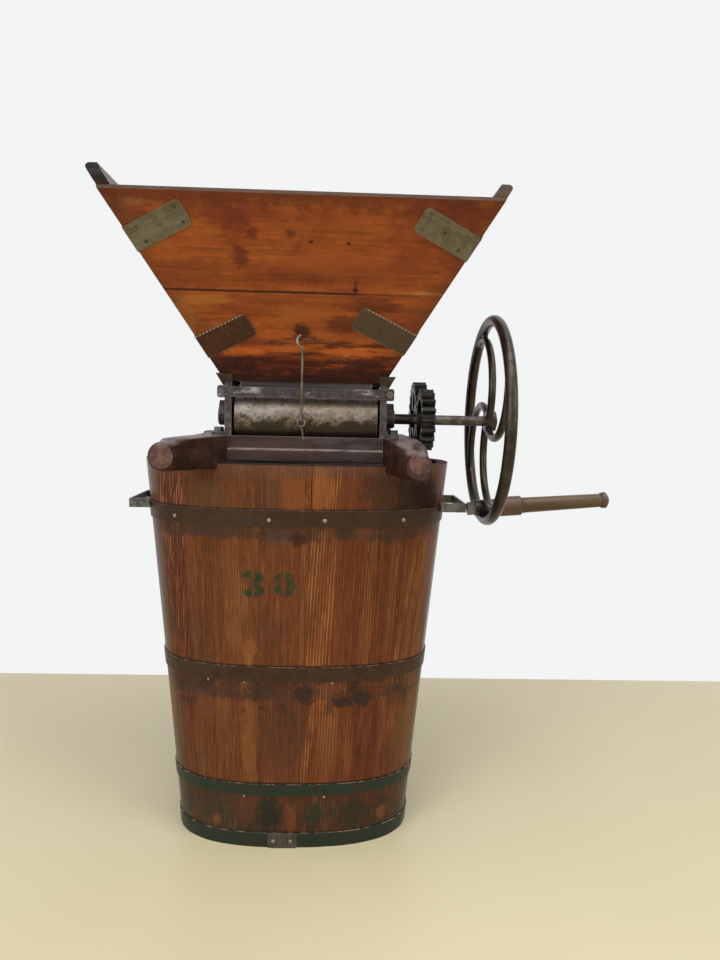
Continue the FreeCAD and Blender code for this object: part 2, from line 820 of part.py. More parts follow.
# Rollers, shafts and gears
def roller(y):
    """A hollow iron roller with a web and a hub at each end."""
    x0 = crusher_x - roller_half_length
    x1 = crusher_x + roller_half_length
    wall = 9.0
    recess = 7.0
    web = 12.0
    barrel = along_x(roller_radius, x0, x1, y, axis_height)
    barrel = barrel.cut(along_x(roller_radius - wall, x0, x1, y, axis_height))
    pieces = [barrel, along_x(20.0, x0 + recess, x1 - recess, y, axis_height)]
    for start in (x0 + recess, x1 - recess - web):
        pieces.append(along_x(roller_radius - wall, start, start + web, y, axis_height))
    body = joined(pieces).cut(along_x(shaft_radius, x0, x1, y, axis_height))
    for n in range(4):
        angle = math.radians(45 + 90 * n)
        hole_y = y + 33.0 * math.cos(angle)
        hole_z = axis_height + 33.0 * math.sin(angle)
        body = body.cut(along_x(8.0, x0, x1, hole_y, hole_z))
    return body


def gear_bore(y):
    return along_x(shaft_radius, gear_low_x - 20, gear_low_x + gear_face + 20, y, axis_height)


shaft_start = crusher_x - boss_reach - 2.2
shaft_end = wheel_x + hub_end + 3.0
save("front_roller", roller(-roller_axis_y))
save("rear_roller", roller(roller_axis_y))
save("crank_shaft", along_x(shaft_radius, shaft_start, shaft_end, -roller_axis_y, axis_height))
rear_shaft_end = gear_low_x + gear_face + 6.0
save("rear_shaft", along_x(shaft_radius, shaft_start, rear_shaft_end, roller_axis_y, axis_height))

crank_gear = gear_blank(crank_teeth, 0.0, -roller_axis_y)
gear_end = gear_low_x + gear_face
recess_depth = (gear_face - crank_gear_web) / 2
crank_root = gear_module * (crank_teeth / 2 - 1.2)
ring = along_x(crank_root - 6.0, gear_low_x - 1, gear_end + 1, -roller_axis_y, axis_height)
core = along_x(17.0, gear_low_x - 1, gear_end + 1, -roller_axis_y, axis_height)
web = block(gear_low_x + recess_depth, gear_end - recess_depth, -200, 100, 600, 900)
crank_gear = crank_gear.cut(ring.cut(core).cut(web))
crank_hub = along_x(17.0, gear_low_x - 5.0, gear_end + 3.0, -roller_axis_y, axis_height)
save("crank_gear", joined([crank_gear, crank_hub]).cut(gear_bore(-roller_axis_y)))

rear_phase = math.pi + math.pi / rear_teeth
rear_gear = gear_blank(rear_teeth, rear_phase, roller_axis_y)
rear_root = gear_module * (rear_teeth / 2 - 1.2)
window = along_x(rear_root - 7.0, gear_low_x - 1, gear_end + 1, roller_axis_y, axis_height)
window = window.cut(along_x(18.0, gear_low_x - 1, gear_end + 1, roller_axis_y, axis_height))
for n in range(rear_spokes):
    spoke = block(gear_low_x - 2, gear_end + 2, 0, 90, -rear_spoke_width / 2, rear_spoke_width / 2)
    spoke.rotate(Vector(0, 0, 0), Vector(1, 0, 0), 360 * n / rear_spokes + 12)
    spoke.translate(Vector(0, roller_axis_y, axis_height))
    window = window.cut(spoke)
rear_gear = rear_gear.cut(window)
rear_hub = along_x(18.0, gear_low_x - 5.0, gear_end + 3.0, roller_axis_y, axis_height)
save("rear_gear", joined([rear_gear, rear_hub]).cut(gear_bore(roller_axis_y)))

# Flywheel with four curved spokes, webs in the corners where they leave the rim, and a boss for the handle's bolt
wheel_centre = Vector(wheel_x, -roller_axis_y, axis_height)
along = Vector(1, 0, 0)
rim = Part.makeTorus(wheel_radius - rim_radius, rim_radius, wheel_centre, along)
wheel_pieces = [rim]
arc_centre = Vector(0, -spoke_arc_forward, spoke_arc_up) * wheel_radius
arc_radius = spoke_arc_radius * wheel_radius
farthest = arc_centre.Length + arc_radius
far_point = arc_centre * (farthest / arc_centre.Length)
far_angle = math.atan2(far_point.z, far_point.y)
web_angles = [far_angle + math.radians(turn) for turn in (-web_before, web_after)]
web_corners = [Vector(0, 400 * math.cos(angle), 400 * math.sin(angle)) for angle in web_angles]
web_sector = Part.Face(Part.makePolygon([Vector(0, 0, 0)] + web_corners + [Vector(0, 0, 0)]))
web_start = Vector(-web_thickness / 2, 0, 0)
spoke_web = Part.makeCylinder(wheel_radius - rim_radius, web_thickness, web_start, along)
spoke_web = spoke_web.cut(Part.makeCylinder(arc_radius, web_thickness, arc_centre + web_start, along))
web_sector.translate(web_start)
spoke_web = spoke_web.common(web_sector.extrude(along * web_thickness))
for n in range(spoke_count):
    section = Part.Face(Part.Wire(Part.makeCircle(spoke_radius, far_point, arc_centre.cross(along))))
    arm = section.revolve(arc_centre, along, spoke_sweep)
    cap = Part.makeSphere(spoke_radius, far_point)
    arm = joined([arm, cap, spoke_web])
    arm.rotate(Vector(0, 0, 0), along, 360 * n / spoke_count)
    arm.translate(wheel_centre)
    wheel_pieces.append(arm)
hub = along_x(hub_radius, wheel_x + hub_start, wheel_x + hub_end, -roller_axis_y, axis_height)
wheel_pieces.append(hub)
tilt = math.radians(grip_tilt)
grip_axis = Vector(math.cos(tilt), 0, math.sin(tilt))
throw_point = wheel_centre - Vector(0, 0, crank_throw)
boss_start = throw_point - grip_axis * handle_boss_half_width
wheel_pieces.append(Part.makeCylinder(handle_boss_radius, 2 * handle_boss_half_width, boss_start, grip_axis))
wheel = joined(wheel_pieces)
wheel = wheel.cut(rod(wheel_centre - along * 60, wheel_centre + along * 60, shaft_radius))
bolt_start = boss_start - grip_axis * 14.4
boss_end = boss_start + grip_axis * (2 * handle_boss_half_width)
wheel = wheel.cut(rod(bolt_start, boss_end + grip_axis * 20, grip_bolt_radius))
save("flywheel", wheel)

# Handle: bolt, nut and the turning grip
grip_start = grip_profile[0][0]
grip_end = grip_profile[-1][0]
bolt_end = throw_point + grip_axis * (grip_end + 0.4)
bolt_head = Part.makeCylinder(8.0, 1.8, bolt_end, grip_axis)
save("crank_handle_bolt", joined([rod(bolt_start, bolt_end + grip_axis, grip_bolt_radius), bolt_head]))
nut = hexagon_nut(boss_start - grip_axis * 14.0, grip_axis, 21.0, 13.9)
save("crank_handle_nut", nut.cut(rod(bolt_start - grip_axis * 5, boss_end, grip_bolt_radius)))

outline = [Vector(grip_start, 0, 0)]
outline += [Vector(x, 0, r) for x, r in grip_profile]
outline += [Vector(grip_end, 0, 0), Vector(grip_start, 0, 0)]
grip = Part.Face(Part.makePolygon(outline)).revolve(Vector(0, 0, 0), along, 360)
bore = rod(Vector(0, 0, 0), Vector(300, 0, 0), grip_bolt_radius + running_clearance)
grip = grip.cut(bore)
grip.Placement = Placement(throw_point, Rotation(Vector(0, 1, 0), -grip_tilt))
save("crank_grip", grip)


# Hopper boards
def keeper(boards):
    """A bent nail in the front board with its end pointing along the board."""
    slope = (keeper_height - hopper_bottom) / math.cos(front_lean)
    right = latch_x - hopper_x + 20.0
    left = latch_x - hopper_x - 4.0
    stand = 6.0
    inside = front_point(right, slope, -12.0, -1)
    bend = front_point(right, slope, stand, -1)
    tip = front_point(left, slope, stand, -1)
    return joined([rod(inside, bend, keeper_wire), Part.makeSphere(keeper_wire, bend), rod(bend, tip, keeper_wire)])


front_lower = front_board(-1, hopper_bottom, hopper_plank_seam)
front_upper = front_board(-1, hopper_plank_seam, hopper_top)
rear_lower = front_board(1, hopper_bottom, hopper_plank_seam)
rear_upper = front_board(1, hopper_plank_seam, hopper_top)
front_keeper = keeper(front_lower)
keepers = Part.makeCompound([front_keeper, turned_half(front_keeper)])
save("hopper_front_lower_board", front_lower.cut(keepers))
save("hopper_front_upper_board", front_upper)
save("hopper_rear_lower_board", rear_lower.cut(keepers))
save("hopper_rear_upper_board", rear_upper)
side_planks = []
for name, side, top in (("hopper_left_side", -1, left_ear_top), ("hopper_right_side", 1, right_ear_top)):
    lower_plank = side_board(side, hopper_bottom, hopper_plank_seam)
    upper_plank = side_board(side, hopper_plank_seam, top, ear_radius)
    side_planks += [lower_plank, upper_plank]
    save(name, Part.makeCompound([lower_plank, upper_plank]))

# Battens under the front and rear boards, which drop between the frame's bars
batten_depths = (frame_half_depth - 0.5, frame_half_depth - 12.0)
corners = []
for y in batten_depths:
    corners.append(Vector(crusher_x - batten_half_length, -y, batten_low))
for y in reversed(batten_depths):
    rise = (hopper_half_depth - y) * math.tan(front_lean)
    corners.append(Vector(crusher_x - batten_half_length, -y, hopper_bottom + rise))
batten = Part.Face(Part.makePolygon(corners + [corners[0]])).extrude(Vector(2 * batten_half_length, 0, 0))
save("hopper_battens", Part.makeCompound([batten, turned_half(batten)]))

# Corner straps, their nails and the keepers
all_boards = Part.makeCompound([front_lower, front_upper, rear_lower, rear_upper] + side_planks)
nails = [front_keeper, turned_half(front_keeper)]
upper_strap = (upper_strap_height, upper_strap_reach)
left_low_strap = (left_low_strap_height, left_low_strap_reach)
right_low_strap = (right_low_strap_height, right_low_strap_reach)
for name, left, right in (
    ("hopper_upper_straps", upper_strap, upper_strap),
    ("hopper_lower_straps", left_low_strap, right_low_strap),
):
    straps = []
    for x_side, (height, reach) in ((-1, left), (1, right)):
        for y_side in (-1, 1):
            straps.append(corner_strap(height, x_side, y_side, reach, all_boards))
            nails += strap_nails(height, x_side, y_side, reach)
    save(name, Part.makeCompound(straps))
save("hopper_nails", Part.makeCompound(nails))


# Latch hooks
def latch_hook():
    """A wire hook: a ring at its foot, a long shank that leans forward and an open crook on top."""
    crook_y = -half_depth_at(keeper_height) - 11.6
    ring = Part.makeTorus(hook_ring, hook_wire, latch_pivot, Vector(1, 0, 0))
    neck = Vector(latch_x + 3.0, crook_y, keeper_height - 17.5)
    rise = Vector(0, neck.y - latch_pivot.y, neck.z - latch_pivot.z)
    foot = latch_pivot + rise.normalize() * hook_ring
    far = Vector(latch_x - 6.0, crook_y, keeper_height - 7.0)
    tip = Vector(latch_x - 1.0, crook_y, keeper_height + 2.8)
    arc = Part.Arc(neck, far, tip)
    wire = Part.Wire([arc.toShape()])
    start_tangent = arc.toShape().tangentAt(arc.toShape().FirstParameter)
    profile = Part.Wire([Part.makeCircle(hook_wire, neck, start_tangent)])
    crook = wire.makePipeShell([profile], True, False)
    return joined([ring, rod(foot, neck, hook_wire), Part.makeSphere(hook_wire, neck), crook,
                   Part.makeSphere(hook_wire, tip)])


hook = latch_hook()
save("front_latch_hook", hook)
save("rear_latch_hook", turned_half(hook))
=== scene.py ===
"""Looks of the hand cranked grape crusher on its stave tub. Metres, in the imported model's frame."""

import math
import random
from collections import namedtuple

import bpy
from mathutils import Matrix, Vector

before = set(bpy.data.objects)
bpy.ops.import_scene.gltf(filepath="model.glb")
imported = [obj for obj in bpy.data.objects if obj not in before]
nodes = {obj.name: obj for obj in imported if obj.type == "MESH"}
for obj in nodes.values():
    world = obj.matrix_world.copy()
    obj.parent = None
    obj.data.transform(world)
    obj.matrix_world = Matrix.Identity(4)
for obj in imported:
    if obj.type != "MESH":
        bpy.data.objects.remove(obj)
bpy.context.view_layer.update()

# Camera, as measured from the photograph
camera_place = Vector((0.0618, -1.3948, 0.7982))
camera_yaw = math.radians(2.26)
camera_pitch = math.radians(5.62)
camera_roll = math.radians(1.28)
focal_pixels = 733.0
image_height = 960.0
sensor_size = 36.0

# Real sizes that the materials and pieces follow
tub_height = 0.700
tub_bottom_half_length = 0.217
tub_bottom_half_depth = 0.128
tub_top_half_length = 0.2815
tub_top_half_depth = 0.1535
oval_exponent = 2.5
stave_count = 16
crusher_x = 0.016
hopper_x = 0.013
axis_height = 0.779
roller_axis_y = 0.058275
hopper_bottom = 0.840
hopper_seam = 0.979
hopper_top = 1.1095
hopper_half_length = 0.137
hopper_half_depth = 0.120
front_lean = math.radians(30.0)
side_lean = math.radians(31.4)
grip_tilt = math.radians(4.6)
wheel_x = 0.346
crank_throw = 0.1595
wall_distance = 0.72
wall_turn = math.radians(-0.6)

# The stencilled number on the tub's front
figure_height = 0.048
figure_width = 0.042
figure_first_x = -0.0705
figure_second_x = -0.0160
figure_z = 0.491
figure_staves = (14, 15, 16)
loop_hole = (0.0054, 0.0038)
nought_hole = (0.0052, 0.0125)
bridge_half = 0.0012

# Round ends of the carrying timbers, the crosspieces between them and the ledge between their boards, where a
# highlight is painted
timber_end_x = 0.2044
timber_end_z = 0.715
crosspiece_half_length = 0.15
crosspiece_y = -0.112
ledge_height = 0.7235

# Hoops: their upper edges, and below each underside how far the grime reaches and how strong it is
hoop_tops = (0.027, 0.121, 0.341, 0.621)
grime_bands = ((0.593, 0.026, 0.7), (0.315, 0.042, 0.65), (0.100, 0.09, 0.6))
# The stave at the tub's left corner that has an open joint, and how the joint leans
corner_stave = 13
corner_joint_y = -0.0215
corner_joint_lean = -0.08

# Corner straps: the lower ones' heights at the corner, half their width and the dots of the highlight painted
# along their upper edge
left_low_strap_height = 0.893
right_low_strap_height = 0.904
strap_half_width = 0.021
dot_spacing = 0.0045

wood_gloss = 0.18
stave_gloss = 0.17
# The old varnish on the staves takes some blue and green out of the light
varnish_tint = (0.96, 0.90, 0.78)
stave_sheen = 0.08
worn_edge = 0.0012
world_light = 0.45
wall_colour = (243, 244, 244)


def rgb(colour):
    """A colour written in the usual 0 to 255 numbers, as Blender wants it."""
    linear = []
    for value in colour:
        value /= 255.0
        linear.append(value / 12.92 if value <= 0.04045 else ((value + 0.055) / 1.055) ** 2.4)
    return (*linear, 1.0)


class Paint:
    """A material or world under construction. Colours are three numbers from 0 to 255, or an output socket.

    lay and shade change the tone so far. Most other calls add nodes and return an output socket.
    """

    def __init__(self, name, kind=bpy.data.materials):
        self.owner = kind.new(name)
        self.owner.use_nodes = True
        self.tree = self.owner.node_tree
        self.tree.nodes.clear()
        self.place = self.add("TexCoord").outputs["Object"]
        self.axes = self.split(self.place)
        self.tone = None

    def add(self, kind, **settings):
        node = self.tree.nodes.new("ShaderNode" + kind)
        for name, value in settings.items():
            setattr(node, name, value)
        return node

    def feed(self, socket, value):
        if isinstance(value, bpy.types.NodeSocket):
            self.tree.links.new(value, socket)
        else:
            socket.default_value = value

    def filled(self, kind, values, **settings):
        """The first output of a new node that takes the values in its first inputs."""
        node = self.add(kind, **settings)
        for socket, value in zip(node.inputs, values):
            self.feed(socket, value)
        return node.outputs[0]

    def math(self, operation, *values):
        return self.filled("Math", values, operation=operation)

    def vector(self, operation, first, second=(0.0, 0.0, 0.0)):
        node = self.add("VectorMath", operation=operation)
        self.feed(node.inputs[0], first)
        self.feed(node.inputs[1], second)
        return node.outputs["Value"] if operation in ("LENGTH", "DOT_PRODUCT") else node.outputs[0]

    def split(self, vector):
        node = self.add("SeparateXYZ")
        self.feed(node.inputs[0], vector)
        return tuple(node.outputs)

    def join(self, x, y, z):
        return self.filled("CombineXYZ", (x, y, z))

    def board(self, origin, along, outward):
        """Local metres on a board: x across the face, y out of the face, z along the grain."""
        z_axis = Vector(along).normalized()
        x_axis = Vector(outward).cross(z_axis).normalized()
        y_axis = z_axis.cross(x_axis)
        turn = Matrix((x_axis, y_axis, z_axis))
        node = self.add("Mapping", vector_type="POINT")
        self.feed(node.inputs["Vector"], self.place)
        node.inputs["Location"].default_value = -(turn @ Vector(origin))
        node.inputs["Rotation"].default_value = turn.to_euler("XYZ")
        return node.outputs[0]

    def noise(self, vector, scale, detail, roughness, seed):
        """Soft noise from 0 to 1. The scale is one number or one for each axis, in cycles per metre."""
        if not isinstance(scale, tuple):
            scale = (scale, scale, scale)
        moved = self.vector("MULTIPLY", vector, scale)
        moved = self.vector("ADD", moved, (seed * 3.7, seed * 5.3, seed * 7.9))
        node = self.add("TexNoise", noise_dimensions="3D")
        self.feed(node.inputs["Vector"], moved)
        node.inputs["Scale"].default_value = 1.0
        node.inputs["Detail"].default_value = detail
        node.inputs["Roughness"].default_value = roughness
        return node.outputs["Fac"]

    def ramp(self, value, low, high):
        """0 below low and 1 above high."""
        return self.filled("MapRange", (value, low, high), interpolation_type="SMOOTHSTEP")

    def fall(self, value, low, high):
        """1 below low and 0 above high."""
        return self.flip(self.ramp(value, low, high))

    def patches(self, vector, scale, detail, roughness, seed, low, high):
        """Noise made into patches: 0 where it is below low and 1 where it is above high."""
        return self.ramp(self.noise(vector, scale, detail, roughness, seed), low, high)

    def curve(self, value, stops):
        """Values along a line of (place, value) stops."""
        node = self.add("ValToRGB")
        self.feed(node.inputs[0], value)
        elements = node.color_ramp.elements
        while len(elements) < len(stops):
            elements.new(0.5)
        for element, (place, level) in zip(elements, stops):
            element.position = place
            element.color = (level, level, level, 1.0)
        return node.outputs[0]

    def mix(self, amount, first, second, blend="MIX"):
        node = self.add("Mix", data_type="RGBA", blend_type=blend)
        self.feed(node.inputs["Factor"], amount)
        for socket, colour in ((node.inputs["A"], first), (node.inputs["B"], second)):
            self.feed(socket, rgb(colour) if isinstance(colour, tuple) else colour)
        return node.outputs["Result"]

    def lay(self, colour, *shares):
        """Lays a colour over the tone, as far as the product of the shares goes."""
        self.tone = self.mix(self.times(*shares), self.tone, colour)

    def shade(self, red, green=None, blue=None):
        """Makes the tone darker or lighter by a factor, or by one for each of red, green and blue."""
        factor = self.join(red, red if green is None else green, red if blue is None else blue)
        self.tone = self.mix(1.0, self.tone, factor, "MULTIPLY")

    def blend(self, amount, first, second):
        node = self.add("Mix", data_type="FLOAT")
        self.feed(node.inputs["Factor"], amount)
        self.feed(node.inputs["A"], first)
        self.feed(node.inputs["B"], second)
        return node.outputs["Result"]

    def times(self, *values):
        total = values[0]
        for value in values[1:]:
            total = self.math("MULTIPLY", total, value)
        return total

    def plus(self, first, second):
        return self.math("ADD", first, second)

    def minus(self, first, second):
        return self.math("SUBTRACT", first, second)

    def size(self, value):
        return self.math("ABSOLUTE", value)

    def scaled(self, value, factor, start):
        """The value times a factor, added to a start."""
        return self.math("MULTIPLY_ADD", value, factor, start)

    def sway(self, noise, factor, middle=0.0):
        """A noise made into a swing to both sides of a middle."""
        return self.scaled(self.minus(noise, 0.5), factor, middle)

    def edge(self, radius, low=0.02, high=0.25):
        """1 on sharp outer edges, 0 on flat faces."""
        rounded = self.add("Bevel", samples=4)
        rounded.inputs["Radius"].default_value = radius
        straight = self.add("NewGeometry").outputs["Normal"]
        alike = self.vector("DOT_PRODUCT", rounded.outputs[0], straight)
        return self.ramp(self.flip(alike), low, high)

    def facing(self):
        """The surface's outward direction in the piece's own frame."""
        return self.split(self.add("TexCoord").outputs["Normal"])

    def flip(self, value):
        return self.minus(1.0, value)

    def band(self, value, centre, half, soft):
        """1 within half of the centre, fading to 0 over soft."""
        return self.fall(self.size(self.minus(value, centre)), half, half + soft)

    def spot(self, first, second, place, reach, ragged=0.0, core=0.5):
        """1 inside a ragged oval on two coordinates, fading to 0 at its edge."""
        one = self.math("DIVIDE", self.minus(first, place[0]), reach[0])
        two = self.math("DIVIDE", self.minus(second, place[1]), reach[1])
        away = self.plus(self.vector("LENGTH", self.join(one, two, 0.0)), ragged)
        return self.fall(away, core, 1.0)

    def shader(self, kind, colour, strength=None):
        node = self.add(kind)
        node.inputs["Color"].default_value = rgb(colour)
        if strength is not None:
            node.inputs["Strength"].default_value = strength
        return node.outputs[0]

    def choose(self, amount, first, second):
        """The first shader where the amount is 0 and the second where it is 1."""
        return self.filled("MixShader", (amount, first, second))

    def seen_directly(self):
        """1 on the rays by which the camera sees a surface: straight, mirrored or through glass."""
        path = self.add("LightPath").outputs
        seen = self.math("MAXIMUM", path["Is Camera Ray"], path["Is Glossy Ray"])
        return self.math("MAXIMUM", seen, path["Is Transmission Ray"])

    def show(self, surface, output="OutputMaterial"):
        self.feed(self.add(output).inputs["Surface"], surface)
        return self.owner

    def finish(self, roughness, height=None, depth=0.001, metallic=0.0, specular=0.5, sheen=0.0):
        surface = self.add("BsdfPrincipled")
        self.feed(surface.inputs["Base Color"], self.tone)
        self.feed(surface.inputs["Roughness"], roughness)
        self.feed(surface.inputs["Metallic"], metallic)
        surface.inputs["Specular IOR Level"].default_value = specular
        surface.inputs["Sheen Weight"].default_value = sheen
        surface.inputs["Sheen Roughness"].default_value = 0.3
        if height is not None:
            bump = self.add("Bump")
            bump.inputs["Strength"].default_value = 1.0
            bump.inputs["Distance"].default_value = depth
            self.feed(bump.inputs["Height"], height)
            self.feed(surface.inputs["Normal"], bump.outputs[0])
        return self.show(surface.outputs[0])


def wood_grain(paint, place, seed, light, middle, dark, ring, pith, drift, contrast, wave=0.012):
    """Sawn softwood on a board's local metres. Gives its ring lines, ring count, relief and blotches."""
    x, y, z = paint.split(place)
    slow = paint.noise(place, (5, 5, 1.3), 2, 0.5, seed)
    slow_two = paint.noise(place, (11, 11, 2.6), 2, 0.5, seed + 4.1)
    shift = paint.sway(slow_two, wave, paint.sway(slow, wave * 2))
    across = paint.scaled(z, drift, paint.plus(paint.minus(x, pith[0]), shift))
    deep = paint.minus(y, pith[1])
    distance = paint.vector("LENGTH", paint.join(across, deep, 0.0))
    uneven = paint.noise(place, (60, 60, 3), 2, 0.5, seed + 1.7)
    count = paint.scaled(uneven, 0.55, paint.math("DIVIDE", distance, ring))
    line = paint.curve(
        paint.math("FRACT", count),
        ((0.0, 0.35), (0.08, 0.0), (0.5, 0.12), (0.82, 0.75), (0.93, 1.0), (1.0, 0.4)),
    )
    fade = paint.noise(place, (16, 16, 2.2), 2, 0.6, seed + 9)
    line = paint.times(line, paint.ramp(fade, 0.3, 0.7), contrast)
    fibre = paint.noise(place, (900, 900, 16), 3, 0.65, seed + 2.3)
    broad = paint.noise(place, (130, 130, 4), 3, 0.6, seed + 6.1)
    blotch = paint.noise(place, (16, 16, 4.5), 4, 0.6, seed + 3.3)
    paint.tone = paint.mix(paint.ramp(blotch, 0.34, 0.66), light, middle)
    paint.lay(dark, line)
    paint.shade(paint.sway(fibre, 0.45, paint.sway(broad, 1.0, 1.0)))
    height = paint.scaled(line, 0.35, paint.scaled(fibre, 0.35, paint.times(broad, 0.5)))
    return line, count, height, blotch


def dress(node_names, material, bevel=0.0):
    """Give CAD nodes a material and, where wanted, softly worn edges."""
    for name in node_names:
        piece = nodes[name]
        piece.data.materials.clear()
        piece.data.materials.append(material)
        if bevel:
            worn = piece.modifiers.new("worn_edges", "BEVEL")
            worn.width = bevel
            worn.segments = 2
            worn.limit_method = "ANGLE"
            worn.angle_limit = math.radians(40)
            worn.harden_normals = False


# Tub staves
def stave_frame(name):
    """The middle of a stave's outside, its grain direction and its outward normal, from its mesh."""
    points = [vertex.co for vertex in nodes[name].data.vertices]
    low_points = [point for point in points if point.z < 0.001]
    high_points = [point for point in points if point.z > tub_height - 0.03]
    low = sum(low_points, Vector()) / len(low_points)
    high = sum(high_points, Vector()) / len(high_points)
    along = (high - low).normalized()
    middle = (low + high) / 2
    half_length = (tub_bottom_half_length + tub_top_half_length) / 2
    half_depth = (tub_bottom_half_depth + tub_top_half_depth) / 2
    gradient = Vector((
        math.copysign(abs(middle.x / half_length) ** (oval_exponent - 1) / half_length, middle.x),
        math.copysign(abs(middle.y / half_depth) ** (oval_exponent - 1) / half_depth, middle.y),
        0.0,
    ))
    outward = (gradient - along * gradient.dot(along)).normalized()
    return middle, along, outward


def stencil_ring(paint, x, z, place, outer, inner):
    hole = paint.spot(x, z, place, inner, core=0.7)
    return paint.times(paint.spot(x, z, place, outer, core=0.88), paint.flip(hole))


def stencilled_number(paint, x, z):
    """A broad stencilled 3 and 0, with a bridge down the middle of each."""
    quarter = figure_height / 4
    half = figure_width / 2
    upper, lower = (
        stencil_ring(paint, x, z, (figure_first_x, height), (half, quarter + 0.001), loop_hole)
        for height in (figure_z + quarter, figure_z - quarter)
    )
    open_left = paint.fall(x, figure_first_x - 0.0045, figure_first_x - 0.0025)
    gap = paint.times(open_left, paint.band(z, figure_z, quarter - 0.002, 0.002))
    three = paint.times(paint.math("MAXIMUM", upper, lower), paint.flip(gap))
    nought = stencil_ring(paint, x, z, (figure_second_x, figure_z), (half, figure_height / 2), nought_hole)
    bridges = paint.math("MAXIMUM", *(
        paint.band(x, middle, bridge_half, bridge_half) for middle in (figure_first_x, figure_second_x)
    ))
    return paint.times(paint.math("MAXIMUM", three, nought), paint.flip(bridges))


# How one stave looks: three tones, ring spacing, pith place, contrast, pale streaks and a striped zone
Stave = namedtuple("Stave", "light middle dark ring pith contrast streaks stripes", defaults=((), None))

# Each streak: place across the stave (left is plus), half its width, lowest and highest z, strength, slant
front_staves = {
    13: Stave((100, 68, 45), (82, 53, 35), (46, 27, 17), 0.0046, (0.10, -0.05), 0.3,
              stripes=(-0.042, 0.016)),
    14: Stave((108, 62, 33), (96, 54, 30), (58, 31, 18), 0.0046, (0.16, -0.03), 0.3,
              ((-0.004, 0.008, 0.14, 0.60, 0.25, 0.0),), stripes=(0.030, 0.019)),
    15: Stave((110, 65, 34), (102, 59, 31), (72, 40, 22), 0.0042, (-0.12, -0.05), 0.25,
              ((-0.005, 0.014, 0.40, 0.60, 0.3, 0.0), (-0.026, 0.011, 0.10, 0.47, 0.6, 0.0),
               (0.030, 0.006, 0.12, 0.30, 0.3, 0.0))),
    16: Stave((108, 61, 33), (98, 55, 30), (70, 38, 22), 0.0042, (-0.14, -0.05), 0.25,
              ((-0.036, 0.006, 0.30, 0.56, 0.4, 0.0), (0.002, 0.026, 0.60, 0.69, 0.35, 0.0))),
    1: Stave((110, 58, 28), (98, 51, 25), (64, 31, 16), 0.0052, (0.16, -0.025), 0.5,
             ((0.020, 0.022, 0.33, 0.70, 0.95, 0.0), (-0.006, 0.017, 0.06, 0.30, 0.6, 0.0),
              (0.027, 0.007, 0.10, 0.28, 0.8, 0.12))),
    2: Stave((106, 55, 27), (94, 48, 24), (66, 33, 17), 0.0044, (0.12, -0.04), 0.25,
             ((0.012, 0.010, 0.32, 0.60, 0.45, 0.0), (-0.034, 0.008, 0.20, 0.60, 0.4, 0.0),
              (0.030, 0.010, 0.10, 0.22, 0.4, 0.0))),
    3: Stave((108, 60, 28), (96, 52, 24), (64, 34, 17), 0.0050, (0.13, -0.03), 0.25,
             ((0.018, 0.004, 0.30, 0.60, 0.8, 0.10), (0.004, 0.007, 0.24, 0.60, 0.7, 0.10),
              (-0.020, 0.010, 0.16, 0.56, 0.5, 0.0))),
    4: Stave((102, 76, 44), (88, 63, 36), (58, 40, 24), 0.0046, (0.10, -0.05), 0.3,
             ((0.0, 0.020, 0.10, 0.62, 0.3, 0.0),)),
}
chance = random.Random(7)


def other_stave():
    """A stave that the photograph doesn't show, within the range of those that it does."""
    model = front_staves[chance.choice([14, 15, 16, 1, 2, 3])]
    streaks = []
    for _ in range(chance.randint(0, 2)):
        low = chance.uniform(0.05, 0.35)
        streaks.append((
            chance.uniform(-0.03, 0.03), chance.uniform(0.006, 0.024), low, low + chance.uniform(0.15, 0.4),
            chance.uniform(0.3, 0.9), 0.0,
        ))
    side = chance.choice([-1, 1])
    return model._replace(pith=(model.pith[0] * side, model.pith[1]), streaks=streaks, stripes=None)


def in_metres(*marks):
    """Marks whose place and reach are written in millimetres."""
    return [
        ([value / 1000 for value in place], [value / 1000 for value in reach], strength, colour)
        for place, reach, strength, colour in marks
    ]
